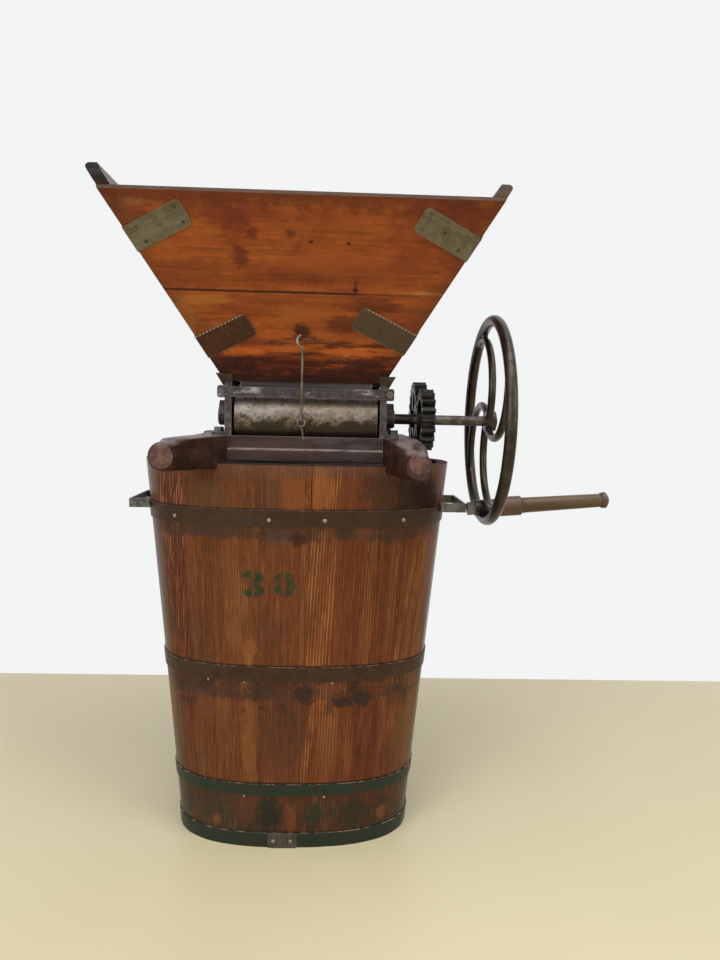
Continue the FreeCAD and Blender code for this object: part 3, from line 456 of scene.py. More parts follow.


# Stains and worn patches on the tub's front, and a painted shadow under the right timber, in x and z: place,
# reach, strength, tone
tub_marks = in_metres(
    ((-150, 640), (50, 40), 0.45, (92, 66, 42)),
    ((-158, 612), (45, 12), 0.45, (122, 70, 42)),
    ((-45, 640), (38, 40), 0.5, (70, 46, 34)),
    ((2, 640), (28, 44), 0.6, (126, 70, 33)),
    ((45, 655), (28, 45), 0.55, (144, 86, 40)),
    ((100, 649), (34, 30), 0.45, (104, 56, 32)),
    ((155, 655), (46, 50), 0.8, (66, 44, 26)),
    ((150, 612), (30, 12), 0.6, (120, 64, 36)),
    # Painted shadow: the next two near-black marks, below the right timber
    ((204, 650), (44, 60), 0.85, (50, 30, 20)),
    ((228, 640), (42, 50), 0.9, (36, 19, 13)),
    ((29, 660), (1.6, 50), 0.9, (26, 15, 11)),
    ((-150, 583), (70, 13), 0.65, (68, 50, 39)),
    ((-29, 576), (32, 20), 0.6, (72, 56, 45)),
    ((7, 570), (18, 13), 0.75, (52, 26, 22)),
    ((85, 583), (28, 13), 0.65, (60, 44, 34)),
    ((122, 582), (20, 14), 0.5, (108, 62, 48)),
    ((181, 577), (36, 20), 0.6, (62, 44, 31)),
    ((-40, 394), (32, 48), 0.3, (78, 50, 36)),
    ((-75, 368), (16, 26), 0.5, (142, 88, 45)),
    ((-157, 292), (62, 13), 0.6, (66, 43, 35)),
    ((-157, 264), (30, 20), 0.4, (108, 60, 42)),
    ((-53, 293), (36, 16), 0.7, (54, 39, 35)),
    ((17, 294), (18, 20), 0.85, (46, 33, 29)),
    ((66, 303), (20, 17), 0.45, (116, 60, 45)),
    ((85, 276), (21, 12), 0.85, (44, 31, 29)),
    ((124, 281), (21, 18), 0.85, (44, 31, 28)),
    ((186, 280), (24, 24), 0.55, (64, 43, 33)),
    ((-16, 215), (56, 110), 0.45, (74, 46, 34)),
    ((-78, 185), (14, 55), 0.5, (134, 80, 42)),
    ((68, 195), (28, 66), 0.4, (122, 70, 38)),
    ((203, 190), (26, 85), 0.5, (98, 69, 38)),
    ((-139, 57), (44, 32), 0.55, (62, 52, 36)),
    ((-135, 44), (10, 12), 0.6, (128, 76, 42)),
    ((-81, 65), (20, 32), 0.55, (92, 50, 35)),
    ((-40, 62), (26, 44), 0.9, (38, 38, 32)),
    ((-1, 54), (14, 36), 0.65, (114, 62, 40)),
    ((45, 66), (20, 22), 0.7, (32, 50, 36)),
    ((111, 60), (42, 32), 0.65, (46, 43, 31)),
    ((166, 50), (12, 18), 0.6, (124, 76, 42)),
)


def stave_material(index):
    """Stained softwood: grime under the hoops, green smears low down, a worn rim, painted shade above hoops
    and under the frame.
    """
    name = f"stave_{index:02d}"
    paint = Paint("tub_" + name)
    look = front_staves[index] if index in front_staves else other_stave()
    middle, along, outward = stave_frame(name)
    place = paint.board(middle, along, outward)
    seed = index * 1.37
    line, count, height, _ = wood_grain(
        paint, place, seed, look.light, look.middle, look.dark, look.ring, look.pith, 0.0, look.contrast,
        wave=0.008,
    )
    x, y, z = paint.axes
    across, outer, up = paint.split(place)

    # A mottled old stain, redder and darker in patches
    red = paint.patches(place, (34, 34, 14), 5, 0.65, seed + 13, 0.5, 0.66)
    paint.lay((102, 48, 26), red, 0.4)
    dusk = paint.patches(paint.place, (13, 13, 10), 5, 0.7, 44, 0.5, 0.66)
    paint.lay((70, 43, 25), dusk, 0.3)
    mottle = paint.noise(place, (150, 150, 60), 4, 0.7, seed + 15)
    paint.shade(paint.sway(mottle, 1.1, 1.0))
    paint.shade(*varnish_tint)
    hair = paint.noise(place, (620, 620, 14), 3, 0.6, seed + 17)
    paint.lay((146, 92, 56), paint.ramp(hair, 0.56, 0.66), 0.45)
    paint.lay((58, 30, 18), paint.fall(hair, 0.34, 0.44), 0.45)

    # Pale early wood showing through where the stain has worn, in broken lines
    pale_line = paint.curve(
        paint.math("FRACT", count),
        ((0.0, 0.0), (0.2, 0.1), (0.32, 1.0), (0.44, 0.9), (0.56, 0.05), (1.0, 0.0)),
    )
    broken = paint.patches(place, (50, 50, 11), 4, 0.65, seed + 5, 0.38, 0.6)
    ragged_z = paint.sway(paint.noise(place, (90, 90, 6), 2, 0.5, seed), 0.2, z)
    for centre, half, low, high, strength, slant in look.streaks:
        moved = paint.scaled(paint.minus(z, (low + high) / 2), slant, across)
        within = paint.band(moved, centre, half * 0.85, half * 0.4)
        lengthwise = paint.band(ragged_z, (low + high) / 2, (high - low) / 2, 0.035)
        mask = paint.times(within, lengthwise, paint.scaled(broken, 0.75, 0.25), strength)
        paint.lay((140, 84, 42), mask, 0.22)
        paint.lay((184, 124, 70), mask, pale_line, 0.85)
    if look.stripes is not None:
        centre, half = look.stripes
        slanted = paint.scaled(up, 0.07, across)
        zone = paint.times(paint.band(across, centre, half, 0.006), paint.band(ragged_z, 0.47, 0.20, 0.06))
        drawn = paint.noise(paint.join(slanted, outer, up), (520, 20, 22), 4, 0.65, seed + 19)
        paint.lay((66, 30, 18), zone, 0.7)
        salmon = paint.mix(paint.ramp(z, 0.50, 0.57), (140, 72, 40), (172, 108, 76))
        paint.lay(salmon, zone, paint.ramp(drawn, 0.53, 0.58), 0.75)
    scratch = paint.patches(place, (420, 420, 12), 2, 0.5, seed + 27, 0.68, 0.74)
    paint.lay((158, 104, 68), scratch, 0.4)

    # Dark open joints between the staves
    paint.lay((32, 20, 15), paint.edge(0.0018, 0.02, 0.15), paint.fall(z, 0.69, 0.695), 0.6)
    if index == corner_stave:
        from_joint = paint.minus(y, paint.scaled(z, corner_joint_lean, corner_joint_y))
        paint.lay((20, 12, 10), paint.band(from_joint, 0.0, 0.0009, 0.0008), paint.band(z, 0.46, 0.13, 0.01))

    # Painted shade with dirt in the corner above each hoop, and grime under it, darkest right under the iron
    for hoop_top in hoop_tops:
        paint.lay((26, 17, 13), paint.band(z, hoop_top + 0.0012, 0.0010, 0.0014), 0.75)
    level = paint.sway(paint.noise(paint.place, (46, 46, 26), 6, 0.75, 2), 0.045, z)
    for underside, reach, amount in grime_bands:
        above = paint.ramp(level, underside - reach, underside - reach * 0.75)
        below = paint.fall(z, underside, underside + 0.004)
        patchy = paint.patches(paint.place, 40, 6, 0.75, underside * 30, 0.42, 0.54)
        paint.lay((56, 40, 30), above, below, paint.scaled(patchy, 0.65, 0.35), amount)
    blots = paint.patches(paint.place, (32, 32, 36), 4, 0.65, 61, 0.54, 0.58)
    paint.lay((44, 29, 24), blots, paint.band(z, 0.285, 0.022, 0.02), 0.6)

    # Green smears and red worn patches between the two lowest hoops
    foot = paint.fall(z, 0.06, 0.115)
    smear = paint.patches(paint.place, (34, 34, 14), 4, 0.7, 21, 0.46, 0.6)
    paint.lay((58, 44, 30), foot, 0.45)
    paint.lay((42, 42, 32), foot, smear, 0.7)
    grey_line = paint.patches(place, (260, 260, 20), 3, 0.6, seed + 37, 0.58, 0.64)
    paint.lay((104, 88, 70), foot, grey_line, 0.5)
    worn = paint.patches(paint.place, (34, 34, 16), 4, 0.65, 31, 0.6, 0.7)
    paint.lay((112, 58, 36), foot, worn, 0.6)

    if index in front_staves:
        torn = paint.sway(paint.noise(place, (100, 100, 50), 6, 0.75, seed + 33), 2.6)
        for mark_place, reach, strength, colour in tub_marks:
            stave_x = middle.x + (mark_place[1] - middle.z) * along.x / along.z
            if abs(mark_place[0] - stave_x) < 0.05 + reach[0] * 1.2:
                paint.lay(colour, paint.spot(x, z, mark_place, reach, torn, 0.6), strength)

    # A worn, greyer rim, and bare end grain on top
    paint.lay((98, 76, 64), paint.ramp(level, tub_height - 0.030, tub_height - 0.006), 0.4)
    top = paint.ramp(paint.facing()[2], 0.6, 0.9)
    paint.lay((66, 54, 46), top, 0.8)
    # Painted shadow: a near-black band along the rim's top edge under the crosspiece
    crosspiece_shadow_span = paint.band(x, crusher_x, crosspiece_half_length, 0.01)
    paint.lay((18, 12, 10), paint.ramp(z, tub_height - 0.0025, tub_height - 0.001), crosspiece_shadow_span, 0.85)
    if index in figure_staves:
        faded = paint.patches(place, (130, 130, 60), 4, 0.65, 3, 0.3, 0.6)
        outside = paint.fall(y, -0.125, -0.120)
        paint.lay((28, 54, 34), stencilled_number(paint, x, z), paint.scaled(faded, 0.65, 0.3), outside)
    rough = paint.scaled(line, 0.08, paint.scaled(mottle, 0.22, 0.22))
    return paint.finish(paint.blend(top, rough, 0.9), height, 0.0004, specular=stave_gloss, sheen=stave_sheen)


for index in range(1, stave_count + 1):
    dress([f"stave_{index:02d}"], stave_material(index), bevel=0.0008)


# Hopper boards
def hopper_grime_and_shade(paint, side):
    """Darker varnish and dirt towards the hopper's edges, by the distance from its side edge, and painted
    shade at its foot.
    """
    z = paint.axes[2]
    push = paint.sway(paint.noise(paint.place, 30, 5, 0.7, 5), 0.09)
    paint.lay((88, 44, 24), paint.fall(paint.plus(side, push), -0.004, 0.05), 0.5)
    paint.lay((84, 38, 20), paint.fall(paint.minus(push, z), 0.004 - hopper_top, 0.030 - hopper_top), 0.65)
    # Painted shade with dirt: a near-black band along the bottom edge, above the seats
    paint.lay((34, 11, 8), paint.fall(paint.plus(z, push), hopper_bottom + 0.004, hopper_bottom + 0.052), 0.9)


# Knots and stains on the hopper's front: place, reach, strength, tone
front_marks = in_metres(
    ((-65, 1057), (13, 10), 0.75, (92, 34, 18)),
    ((-84, 1027), (18, 17), 0.75, (86, 32, 18)),
    ((-6, 1060), (9, 8), 0.75, (92, 38, 18)),
    ((24, 1049), (4.5, 3), 0.9, (52, 20, 12)),
    ((82, 1049), (4.5, 3), 0.85, (56, 22, 12)),
    ((-100, 1082), (52, 26), 0.5, (104, 38, 20)),
    ((245, 1088), (70, 22), 0.65, (94, 32, 18)),
    ((262, 1048), (46, 36), 0.5, (98, 38, 20)),
    ((-262, 1070), (34, 34), 0.5, (92, 54, 30)),
    ((-170, 1000), (80, 24), 0.4, (108, 46, 22)),
    ((30, 1085), (90, 14), 0.35, (116, 44, 20)),
    ((110, 1010), (60, 20), 0.3, (116, 50, 24)),
    ((9, 922), (18, 13), 0.85, (48, 20, 12)),
    ((80, 933), (46, 18), 0.65, (78, 32, 17)),
    ((127, 962), (52, 16), 0.6, (80, 34, 17)),
    ((-126, 868), (40, 12), 0.85, (48, 20, 14)),
    ((-60, 872), (34, 8), 0.6, (64, 26, 15)),
    ((110, 872), (50, 12), 0.75, (54, 22, 14)),
    ((10, 868), (50, 8), 0.6, (60, 24, 14)),
    ((-90, 905), (55, 14), 0.35, (88, 40, 20)),
    ((94.5, 988), (4, 10), 0.75, (66, 26, 14)),
    ((95, 983), (5, 4), 0.85, (48, 20, 12)),
    ((-90, 1062), (28, 34), 0.45, (100, 36, 20)),
    ((190, 1020), (60, 26), 0.35, (104, 40, 20)),
    ((-20, 1000), (110, 10), 0.35, (98, 40, 20)),
    ((150, 925), (34, 18), 0.55, (76, 28, 16)),
)
# Pale streaks where the varnish has worn, in the same form
front_streaks = in_metres(
    ((-180, 937), (24, 34), 0.8, (172, 104, 38)),
    ((-150, 966), (66, 10), 0.75, (168, 98, 40)),
    ((-95, 889), (55, 9), 0.9, (188, 94, 36)),
    ((90, 891), (55, 9), 0.9, (184, 92, 36)),
    ((-5, 894), (40, 7), 0.7, (180, 94, 38)),
    ((20, 952), (70, 14), 0.45, (160, 86, 34)),
    ((215, 981), (46, 5), 0.8, (176, 108, 58)),
    ((-215, 1040), (36, 8), 0.5, (156, 94, 46)),
    ((60, 1020), (130, 22), 0.35, (158, 82, 32)),
    ((10, 984), (40, 4), 0.5, (166, 92, 40)),
    ((-240, 1094), (36, 6), 0.45, (140, 98, 60)),
)


hopper_light = (152, 78, 28)
hopper_middle = (136, 65, 24)
hopper_dark = (92, 40, 17)
# The side boards' ears: their grey, their tips' grey and the sign of x towards the hopper's middle
ear_looks = {"left": ((54, 48, 44), (30, 26, 24), 1.0), "right": ((92, 76, 64), (70, 58, 50), -1.0)}


def hopper_board(name, origin, along, outward, seed, face, lower=False, contrast=0.4):
    """A varnished board. The face is front, rear, left or right."""
    paint = Paint(name)
    place = paint.board(origin, along, outward)
    line, _, height, _ = wood_grain(
        paint, place, seed, hopper_light, hopper_middle, hopper_dark, 0.0058, (0.06, -0.05), 0.03, contrast,
    )
    x, y, z = paint.axes
    tilt_x, _, tilt_z = paint.facing()
    drawn = paint.noise(place, (120, 120, 46), 6, 0.75, seed + 8)
    ragged = paint.sway(drawn, 2.2)
    paint.lay((108, 44, 20), paint.patches(place, (18, 18, 12), 6, 0.7, seed + 11, 0.5, 0.68), 0.5)
    paint.lay((166, 86, 30), paint.patches(place, (34, 34, 13), 5, 0.7, seed + 14, 0.52, 0.68), 0.5)
    mottle = paint.noise(place, (130, 130, 60), 4, 0.7, seed + 15)
    paint.shade(paint.sway(mottle, 0.9, 1.0))
    paint.lay((74, 28, 14), paint.patches(place, (420, 420, 13), 3, 0.6, seed + 16, 0.62, 0.7), 0.45)
    if lower:
        flame = paint.noise(place, (130, 130, 13), 5, 0.7, seed + 17)
        zone = paint.fall(z, 0.895, 0.93)
        paint.lay((96, 26, 12), paint.fall(z, 0.870, 0.892), 0.75)
        paint.lay((58, 17, 10), paint.ramp(flame, 0.51, 0.58), zone, 0.85)
        paint.lay((182, 86, 32), paint.fall(flame, 0.38, 0.43), zone, 0.8)
    if face == "front":
        for spot_place, reach, strength, colour in front_streaks + front_marks:
            paint.lay(colour, paint.spot(x, z, spot_place, reach, ragged), strength)
        seam = paint.band(z, hopper_seam - 0.0003, 0.0008, 0.0012)
        paint.lay((28, 14, 10), seam, paint.scaled(paint.fall(x, 0.090, 0.120), 0.5, 0.42))
    else:
        paint.lay((78, 34, 19), paint.patches(paint.place, 20, 4, 0.65, seed + 23, 0.58, 0.7), 0.6)
    if face in ("front", "rear"):
        lean, low_half, sideways = side_lean, hopper_half_length, paint.minus(x, hopper_x)
    else:
        lean, low_half, sideways = front_lean, hopper_half_depth, y
    half = paint.scaled(paint.minus(z, hopper_bottom), math.tan(lean), low_half)
    hopper_grime_and_shade(paint, paint.minus(half, paint.size(sideways)))

    # The inside is duller and stained by juice, the top edges are grey and the ears are weathered
    inwards = paint.ramp(tilt_z, 0.2, 0.4)
    juice = paint.patches(paint.place, (14, 14, 9), 5, 0.65, 33, 0.4, 0.65)
    paint.lay(paint.mix(juice, (120, 88, 64), (86, 52, 42)), inwards, 0.75)
    if face in ear_looks:
        ear_grey, tip_grey, inwards_sign = ear_looks[face]
        ear = paint.ramp(paint.scaled(ragged, 0.004, z), hopper_top + 0.002, hopper_top + 0.012)
        paint.lay(ear_grey, ear, 0.8)
        tip = paint.ramp(z, hopper_top + 0.012, hopper_top + 0.020)
        paint.lay(tip_grey, tip, paint.ramp(mottle, 0.1, 0.4), 0.9)
        paint.lay((126, 118, 116), ear, paint.ramp(paint.times(tilt_x, inwards_sign), 0.4, 0.6), 0.9)
    else:
        edge_grey = paint.mix(paint.ramp(drawn, 0.4, 0.6), (72, 60, 50), (48, 36, 30))
        paint.lay(edge_grey, paint.ramp(tilt_z, 0.75, 0.9), 0.9)
    rough = paint.scaled(line, 0.08, paint.scaled(mottle, 0.22, 0.32))
    return paint.finish(paint.blend(inwards, rough, 0.9), height, 0.0004, specular=wood_gloss)


for side, word in ((-1, "front"), (1, "rear")):
    outward = Vector((0.0, side * math.cos(front_lean), -math.sin(front_lean)))
    for part, low, high, seed, contrast in (
        ("lower", hopper_bottom, hopper_seam, 3.0, 0.6), ("upper", hopper_seam, hopper_top, 8.0, 0.22),
    ):
        height = (low + high) / 2
        depth = hopper_half_depth + (height - hopper_bottom) * math.tan(front_lean)
        middle = (hopper_x, side * depth, height)
        node = f"hopper_{word}_{part}_board"
        material = hopper_board(
            node, middle, (1, 0, 0), outward, seed + side, word, part == "lower", contrast,
        )
        dress([node], material, worn_edge)
for side, word in ((-1, "left"), (1, "right")):
    outward = Vector((side * math.cos(side_lean), 0.0, -math.sin(side_lean)))
    node = f"hopper_{word}_side"
    middle = (hopper_x + side * 0.21, 0.0, 0.975)
    dress([node], hopper_board(node, middle, (0, 1, 0), outward, 15.0 + side, word), worn_edge)


# Timbers, crosspieces, battens and the tub's bottom
def plank_material(name, origin, along, outward, seed, light, middle, dark, ring=0.0055, pith=(0.04, -0.12),
                   contrast=0.7, wave=0.012, rough=0.36, gloss=wood_gloss, bright=None, bright_share=0.5,
                   extra=None):
    """A worn board of one tone, with paler rubbed edges where a bright tone is given."""
    paint = Paint(name)
    place = paint.board(origin, along, outward)
    line, _, height, blotch = wood_grain(
        paint, place, seed, light, middle, dark, ring, pith, 0.0, contrast, wave,
    )
    if extra is not None:
        extra(paint, place)
    if bright is not None:
        paint.lay(bright, paint.edge(0.0025), paint.ramp(blotch, 0.3, 0.55), bright_share)
    roughness = paint.scaled(line, 0.08, paint.scaled(blotch, 0.25, rough))
    return paint.finish(roughness, height, 0.0005, specular=gloss)


def timber_ends(paint, place):
    """Dark mottled sides, painted shade on the inner sides, dusty tops with a painted highlight, and pinkish
    end grain with a dark rim and fine cracks.
    """
    x, _, z = paint.axes
    face_x, face_y, face_z = paint.facing()
    shade = paint.patches(paint.place, (46, 22, 46), 5, 0.7, 14, 0.42, 0.6)
    # Painted shade on the sides that face inwards
    inner_side_shade = paint.ramp(paint.times(face_x, paint.math("SIGN", x)), 0.0, -0.5)
    paint.lay((34, 20, 14), paint.scaled(inner_side_shade, 0.35, paint.times(shade, 0.6)))
    # Painted highlight with dust on the faces that look up
    dusty_highlight_patches = paint.patches(paint.place, (40, 14, 40), 4, 0.65, 4, 0.34, 0.55)
    paint.lay((136, 124, 118), paint.ramp(face_z, 0.55, 0.92), dusty_highlight_patches, 0.75)
    sideways = paint.minus(paint.size(x), timber_end_x)
    upwards = paint.minus(z, timber_end_z)
    out = paint.vector("LENGTH", paint.join(sideways, upwards, 0.0))
    mottle = paint.noise(paint.place, 110, 5, 0.7, 6)
    rings = paint.math("SINE", paint.times(paint.scaled(mottle, 0.006, out), 2200.0))
    end = paint.mix(paint.ramp(mottle, 0.38, 0.62), (116, 86, 76), (84, 57, 50))
    end = paint.mix(paint.scaled(rings, 0.07, 0.08), end, (60, 38, 34))
    turn = paint.math("ARCTAN2", upwards, sideways)
    cracks = paint.noise(paint.join(turn, 0, 0), 2.6, 2, 0.5, 9)
    on_right = paint.scaled(paint.ramp(x, -0.01, 0.01), 0.5, 0.15)
    crack = paint.times(paint.band(cracks, 0.5, 0.004, 0.01), paint.band(out, 0.010, 0.007, 0.004), on_right)
    end = paint.mix(crack, end, (44, 28, 26))
    rim = paint.ramp(paint.scaled(mottle, 0.004, out), 0.0195, 0.0235)
    end = paint.mix(paint.times(rim, 0.7), end, (44, 28, 24))
    paint.lay(end, paint.ramp(paint.size(face_y), 0.75, 0.92))


def wet_patches(paint, place):
    """Lilac grey worn patches over the brown."""
    paint.lay((84, 74, 75), paint.patches(place, (60, 60, 12), 4, 0.65, 44, 0.48, 0.62), 0.6)


def ledge_wear_highlight_and_shadow(paint, place):
    """Lilac grey patches, a painted highlight with wear along the ledge between the boards, a darker lower
    part and a painted shadow at the foot.
    """
    wet_patches(paint, place)
    z = paint.axes[2]
    paint.lay((46, 34, 34), paint.fall(z, 0.716, 0.722), 0.45)
    # Painted highlight where the ledge catches the light, broken like rubbed wear
    rubbed = paint.patches(paint.place, (30, 200, 200), 4, 0.65, 47, 0.3, 0.55)
    paint.lay((166, 152, 144), paint.band(z, ledge_height, 0.0012, 0.0008), rubbed, 0.8)
    # Painted shadow: near black along the bottom edge, over the gap above the staves
    paint.lay((20, 14, 13), paint.fall(z, 0.7035, 0.7050))


def grip_wear(paint, place):
    """A redder collar at the wheel, a darker knob and turned lines."""
    along = paint.split(place)[2]
    paint.lay((112, 70, 42), paint.fall(along, 0.040, 0.046), 0.5)
    paint.lay((76, 58, 44), paint.ramp(along, 0.214, 0.219), 0.6)
    for groove in (0.0695, 0.0745, 0.2175):
        paint.lay((48, 34, 25), paint.band(along, groove, 0.0006, 0.0010), 0.6)
    paint.lay((74, 57, 38), paint.patches(place, (60, 60, 14), 5, 0.65, 64, 0.48, 0.62), 0.5)


dress(["left_side_timber", "right_side_timber"], plank_material(
    "timber", (0, 0, timber_end_z), (0, 1, 0), (0, 0, 1), 31.0, (76, 48, 38), (60, 36, 28), (34, 20, 15),
    ring=0.0045, pith=(0.0, 0.004), contrast=0.5, rough=0.32, bright=(104, 84, 76), bright_share=0.35,
    extra=timber_ends,
), 0.0015)
crosspieces = [f"{side}_crosspiece_{part}" for side in ("front", "rear") for part in ("upper", "lower")]
dress(crosspieces, plank_material(
    "crosspieces", (crusher_x, crosspiece_y, 0.72), (1, 0, 0), (0, -1, 0), 41.0, (74, 58, 55), (60, 46, 44),
    (38, 29, 28), contrast=0.35, rough=0.3, bright=(150, 136, 128), bright_share=0.7, extra=ledge_wear_highlight_and_shadow,
), worn_edge)
dress(["hopper_battens"], plank_material(
    "hopper_battens", (crusher_x, crosspiece_y, 0.83), (1, 0, 0), (0, -1, 0), 20.0, (92, 86, 85),
    (66, 59, 59), (38, 33, 33), contrast=0.5, bright=(166, 160, 158), bright_share=0.8, extra=wet_patches,
), worn_edge)
dress(["tub_bottom_boards"], plank_material(
    "tub_bottom_boards", (0, 0, 0.05), (1, 0, 0), (0, 0, 1), 51.0, (96, 62, 42), (78, 48, 32), (52, 30, 20),
    rough=0.5,
))
grip_start = (wheel_x, -roller_axis_y, axis_height - crank_throw)
grip_direction = (math.cos(grip_tilt), 0, math.sin(grip_tilt))
dress(["crank_grip"], plank_material(
    "grip", grip_start, grip_direction, (0, -1, 0), 61.0, (106, 79, 46), (84, 62, 35), (52, 36, 20),
    ring=0.003, pith=(0.0, 0.003), contrast=0.5, rough=0.24, gloss=0.4, wave=0.003, extra=grip_wear,
))


# Iron
def iron(node_names, bevel, name, seed, base, patch, bright, metallic, patch_share=0.5, patch_size=0.02,
         rough=(0.35, 0.6), edge_share=0.6, pits=0.0003, stretch=(1, 1, 1), specular=0.4, sheen=0.0,
         extra=None):
    """Dress nodes in old iron: a base tone with patches of another, bright worn edges and small pits."""
    paint = Paint(name)
    place = paint.vector("MULTIPLY", paint.place, stretch)
    wide = paint.noise(place, 1 / patch_size, 5, 0.7, seed)
    fine = paint.noise(place, 600, 3, 0.6, seed + 2)
    split = 0.5 + (0.5 - patch_share) * 0.35
    mottled = paint.sway(fine, 0.16, wide)
    paint.tone = paint.mix(paint.ramp(mottled, split - 0.1, split + 0.1), base, patch)
    paint.shade(paint.sway(fine, 0.6, 1.0))
    dots = paint.patches(paint.place, 240, 2, 0.5, seed + 7, 0.62, 0.72)
    paint.lay((36, 27, 22), dots, 0.45)
    if extra is not None:
        extra(paint)
    if edge_share:
        paint.lay(bright, paint.edge(worn_edge), paint.ramp(wide, 0.25, 0.6), edge_share)
    roughness = paint.scaled(dots, 0.15, paint.scaled(wide, rough[1] - rough[0], rough[0]))
    height = paint.scaled(dots, -0.6, paint.scaled(wide, 1.5, fine))
    dress(node_names, paint.finish(roughness, height, pits, metallic, specular, sheen), bevel)


def barrel_rust_and_shade(paint):
    """Old juice and rust on a roller: scratches around it, warm blotches and dark pits, and painted shade on
    its lower side.
    """
    paint.lay((130, 106, 72), paint.patches(paint.place, (30, 60, 60), 6, 0.75, 15, 0.47, 0.57), 0.5)
    turned = paint.noise(paint.place, (700, 30, 30), 2, 0.5, 17)
    paint.shade(paint.sway(turned, 0.35, 1.0))
    stain_and_shade_edge = paint.noise(paint.place, (34, 48, 48), 7, 0.8, 19)
    # Painted shade: the roller darker below about its axis, with a ragged edge
    paint.lay((46, 33, 24), paint.fall(paint.sway(stain_and_shade_edge, 0.13, paint.axes[2]), 0.766, 0.786), 0.9)
    paint.lay((74, 60, 46), paint.ramp(stain_and_shade_edge, 0.56, 0.62), 0.45)
    paint.lay((34, 27, 22), paint.patches(paint.place, 170, 2, 0.5, 23, 0.66, 0.7), 0.8)


def strap_ridge_light_and_shade(paint):
    """Painted highlights and shade of ridges: lighter and darker lines along a strap's length."""
    x, _, z = paint.axes
    side = paint.math("SIGN", paint.minus(x, hopper_x))
    across = paint.scaled(paint.times(x, side), math.tan(side_lean) * 0.66, z)
    ridge = paint.noise(paint.join(paint.times(across, 320), 0, 0), 1, 2, 0.5, 3)
    paint.lay((126, 118, 94), paint.ramp(ridge, 0.45, 0.6), 0.3)
    paint.lay((72, 65, 48), paint.fall(ridge, 0.35, 0.45), 0.3)


def corner_rise(paint, height):
    """How far a point is up the hopper's corner from a height on it, and a length that runs along a strap."""
    x, y, z = paint.axes
    away_x = paint.size(paint.minus(x, hopper_x))
    away_y = paint.size(y)
    upwards = Vector((math.tan(side_lean), math.tan(front_lean), 1.0)).normalized()
    above = height - hopper_bottom
    corner = Vector((
        hopper_half_length + above * math.tan(side_lean),
        hopper_half_depth + above * math.tan(front_lean),
        height,
    ))
    along = paint.vector("DOT_PRODUCT", paint.join(away_x, away_y, z), tuple(upwards))
    return paint.minus(along, corner.dot(upwards)), paint.plus(away_x, away_y)


def right_grey_and_edge_highlight(paint):
    """The straps on the crank's side are greyer, and all have a dotted painted highlight along their upper
    edge.
    """
    x = paint.axes[0]
    paint.lay((80, 68, 50), paint.ramp(x, 0.0, 0.03), 0.7)
    for height, beyond in ((left_low_strap_height, -1.0), (right_low_strap_height, 1.0)):
        rise, run = corner_rise(paint, height)
        # Painted highlight: a dotted bright line along each lower strap's upper edge
        line = paint.band(rise, strap_half_width - 0.0008, 0.0008, 0.0003)
        dots = paint.ramp(paint.math("SINE", paint.times(run, 2 * math.pi / dot_spacing)), -0.3, 0.3)
        this_side = paint.ramp(paint.times(x, beyond), 0.0, 0.01)
        paint.lay((190, 168, 138), line, dots, this_side, 0.75)


def hoop_rim_highlight(paint):
    """A painted highlight with wear, in broken pieces, along a hoop's upper edge."""
    broken = paint.patches(paint.place, 90, 4, 0.7, 27, 0.48, 0.56)
    paint.lay((176, 152, 126), paint.ramp(paint.facing()[2], 0.5, 0.8), broken, 0.8)


def base_lap_and_rim_highlight(paint):
    """The green hoops' painted highlight along their upper edge, and the base hoop's lap, greyer than its
    paint.
    """
    hoop_rim_highlight(paint)
    x, y, z = paint.axes
    streak = paint.patches(paint.place, (300, 30, 30), 3, 0.6, 53, 0.4, 0.6)
    lap = paint.times(paint.band(x, -0.0145, 0.0265, 0.001), paint.fall(y, -0.10, -0.09))
    paint.lay(paint.mix(streak, (64, 54, 50), (96, 88, 82)), lap, paint.fall(z, 0.028, 0.030), 0.7)


def shaft_wear(paint):
    """Black grease between the end plate and the gear."""
    x = paint.axes[0]
    paint.lay((30, 27, 24), paint.ramp(x, 0.14, 0.15), paint.fall(x, 0.205, 0.215), 0.8)


def bar_light(paint):
    """Pale rubbed patches on the dark top bars."""
    x, _, z = paint.axes
    rub = paint.noise(paint.place, (34, 120, 120), 5, 0.7, 57)
    paint.lay((146, 138, 134), paint.ramp(rub, 0.56, 0.66), 0.7)
    for centre in (-0.078, 0.115):
        patch = paint.band(paint.scaled(rub, 0.03, x), centre + 0.015, 0.010, 0.012)
        middle = paint.band(z, 0.826, 0.004, 0.004)
        paint.lay((166, 160, 156), patch, middle, paint.ramp(rub, 0.42, 0.58), 0.8)


iron(["middle_hoop", "top_hoop"], 0.0005, "dark_hoop_iron", 1, (63, 41, 23), (52, 33, 19), (128, 106, 84),
     0.2, patch_size=0.03, rough=(0.36, 0.55), specular=0.3, sheen=0.1, extra=hoop_rim_highlight)
iron(["lower_hoop", "base_hoop"], 0.0005, "green_hoop_iron", 2, (29, 44, 32), (46, 39, 28),
     (118, 112, 92), 0.1, patch_share=0.3, patch_size=0.03, rough=(0.38, 0.55), specular=0.3, sheen=0.1,
     extra=base_lap_and_rim_highlight)
iron(["left_tub_handle", "right_tub_handle"], 0.0007, "loop_iron", 3, (112, 112, 106), (74, 72, 68),
     (164, 162, 156), 0.6)
iron(["left_end_plate", "right_end_plate"], 0.0009, "plate_iron", 4, (94, 86, 85), (62, 54, 53),
     (178, 170, 164), 0.45, patch_size=0.012, rough=(0.3, 0.5), edge_share=0.8)
iron(["front_top_bar", "rear_top_bar"], 0.0006, "bar_iron", 24, (78, 70, 70), (58, 50, 50),
     (170, 162, 158), 0.45, patch_size=0.012, rough=(0.28, 0.5), edge_share=0.8, extra=bar_light)
iron(["hopper_seats"], 0.0005, "seat_iron", 5, (74, 66, 48), (58, 48, 35), (128, 116, 92), 0.45)
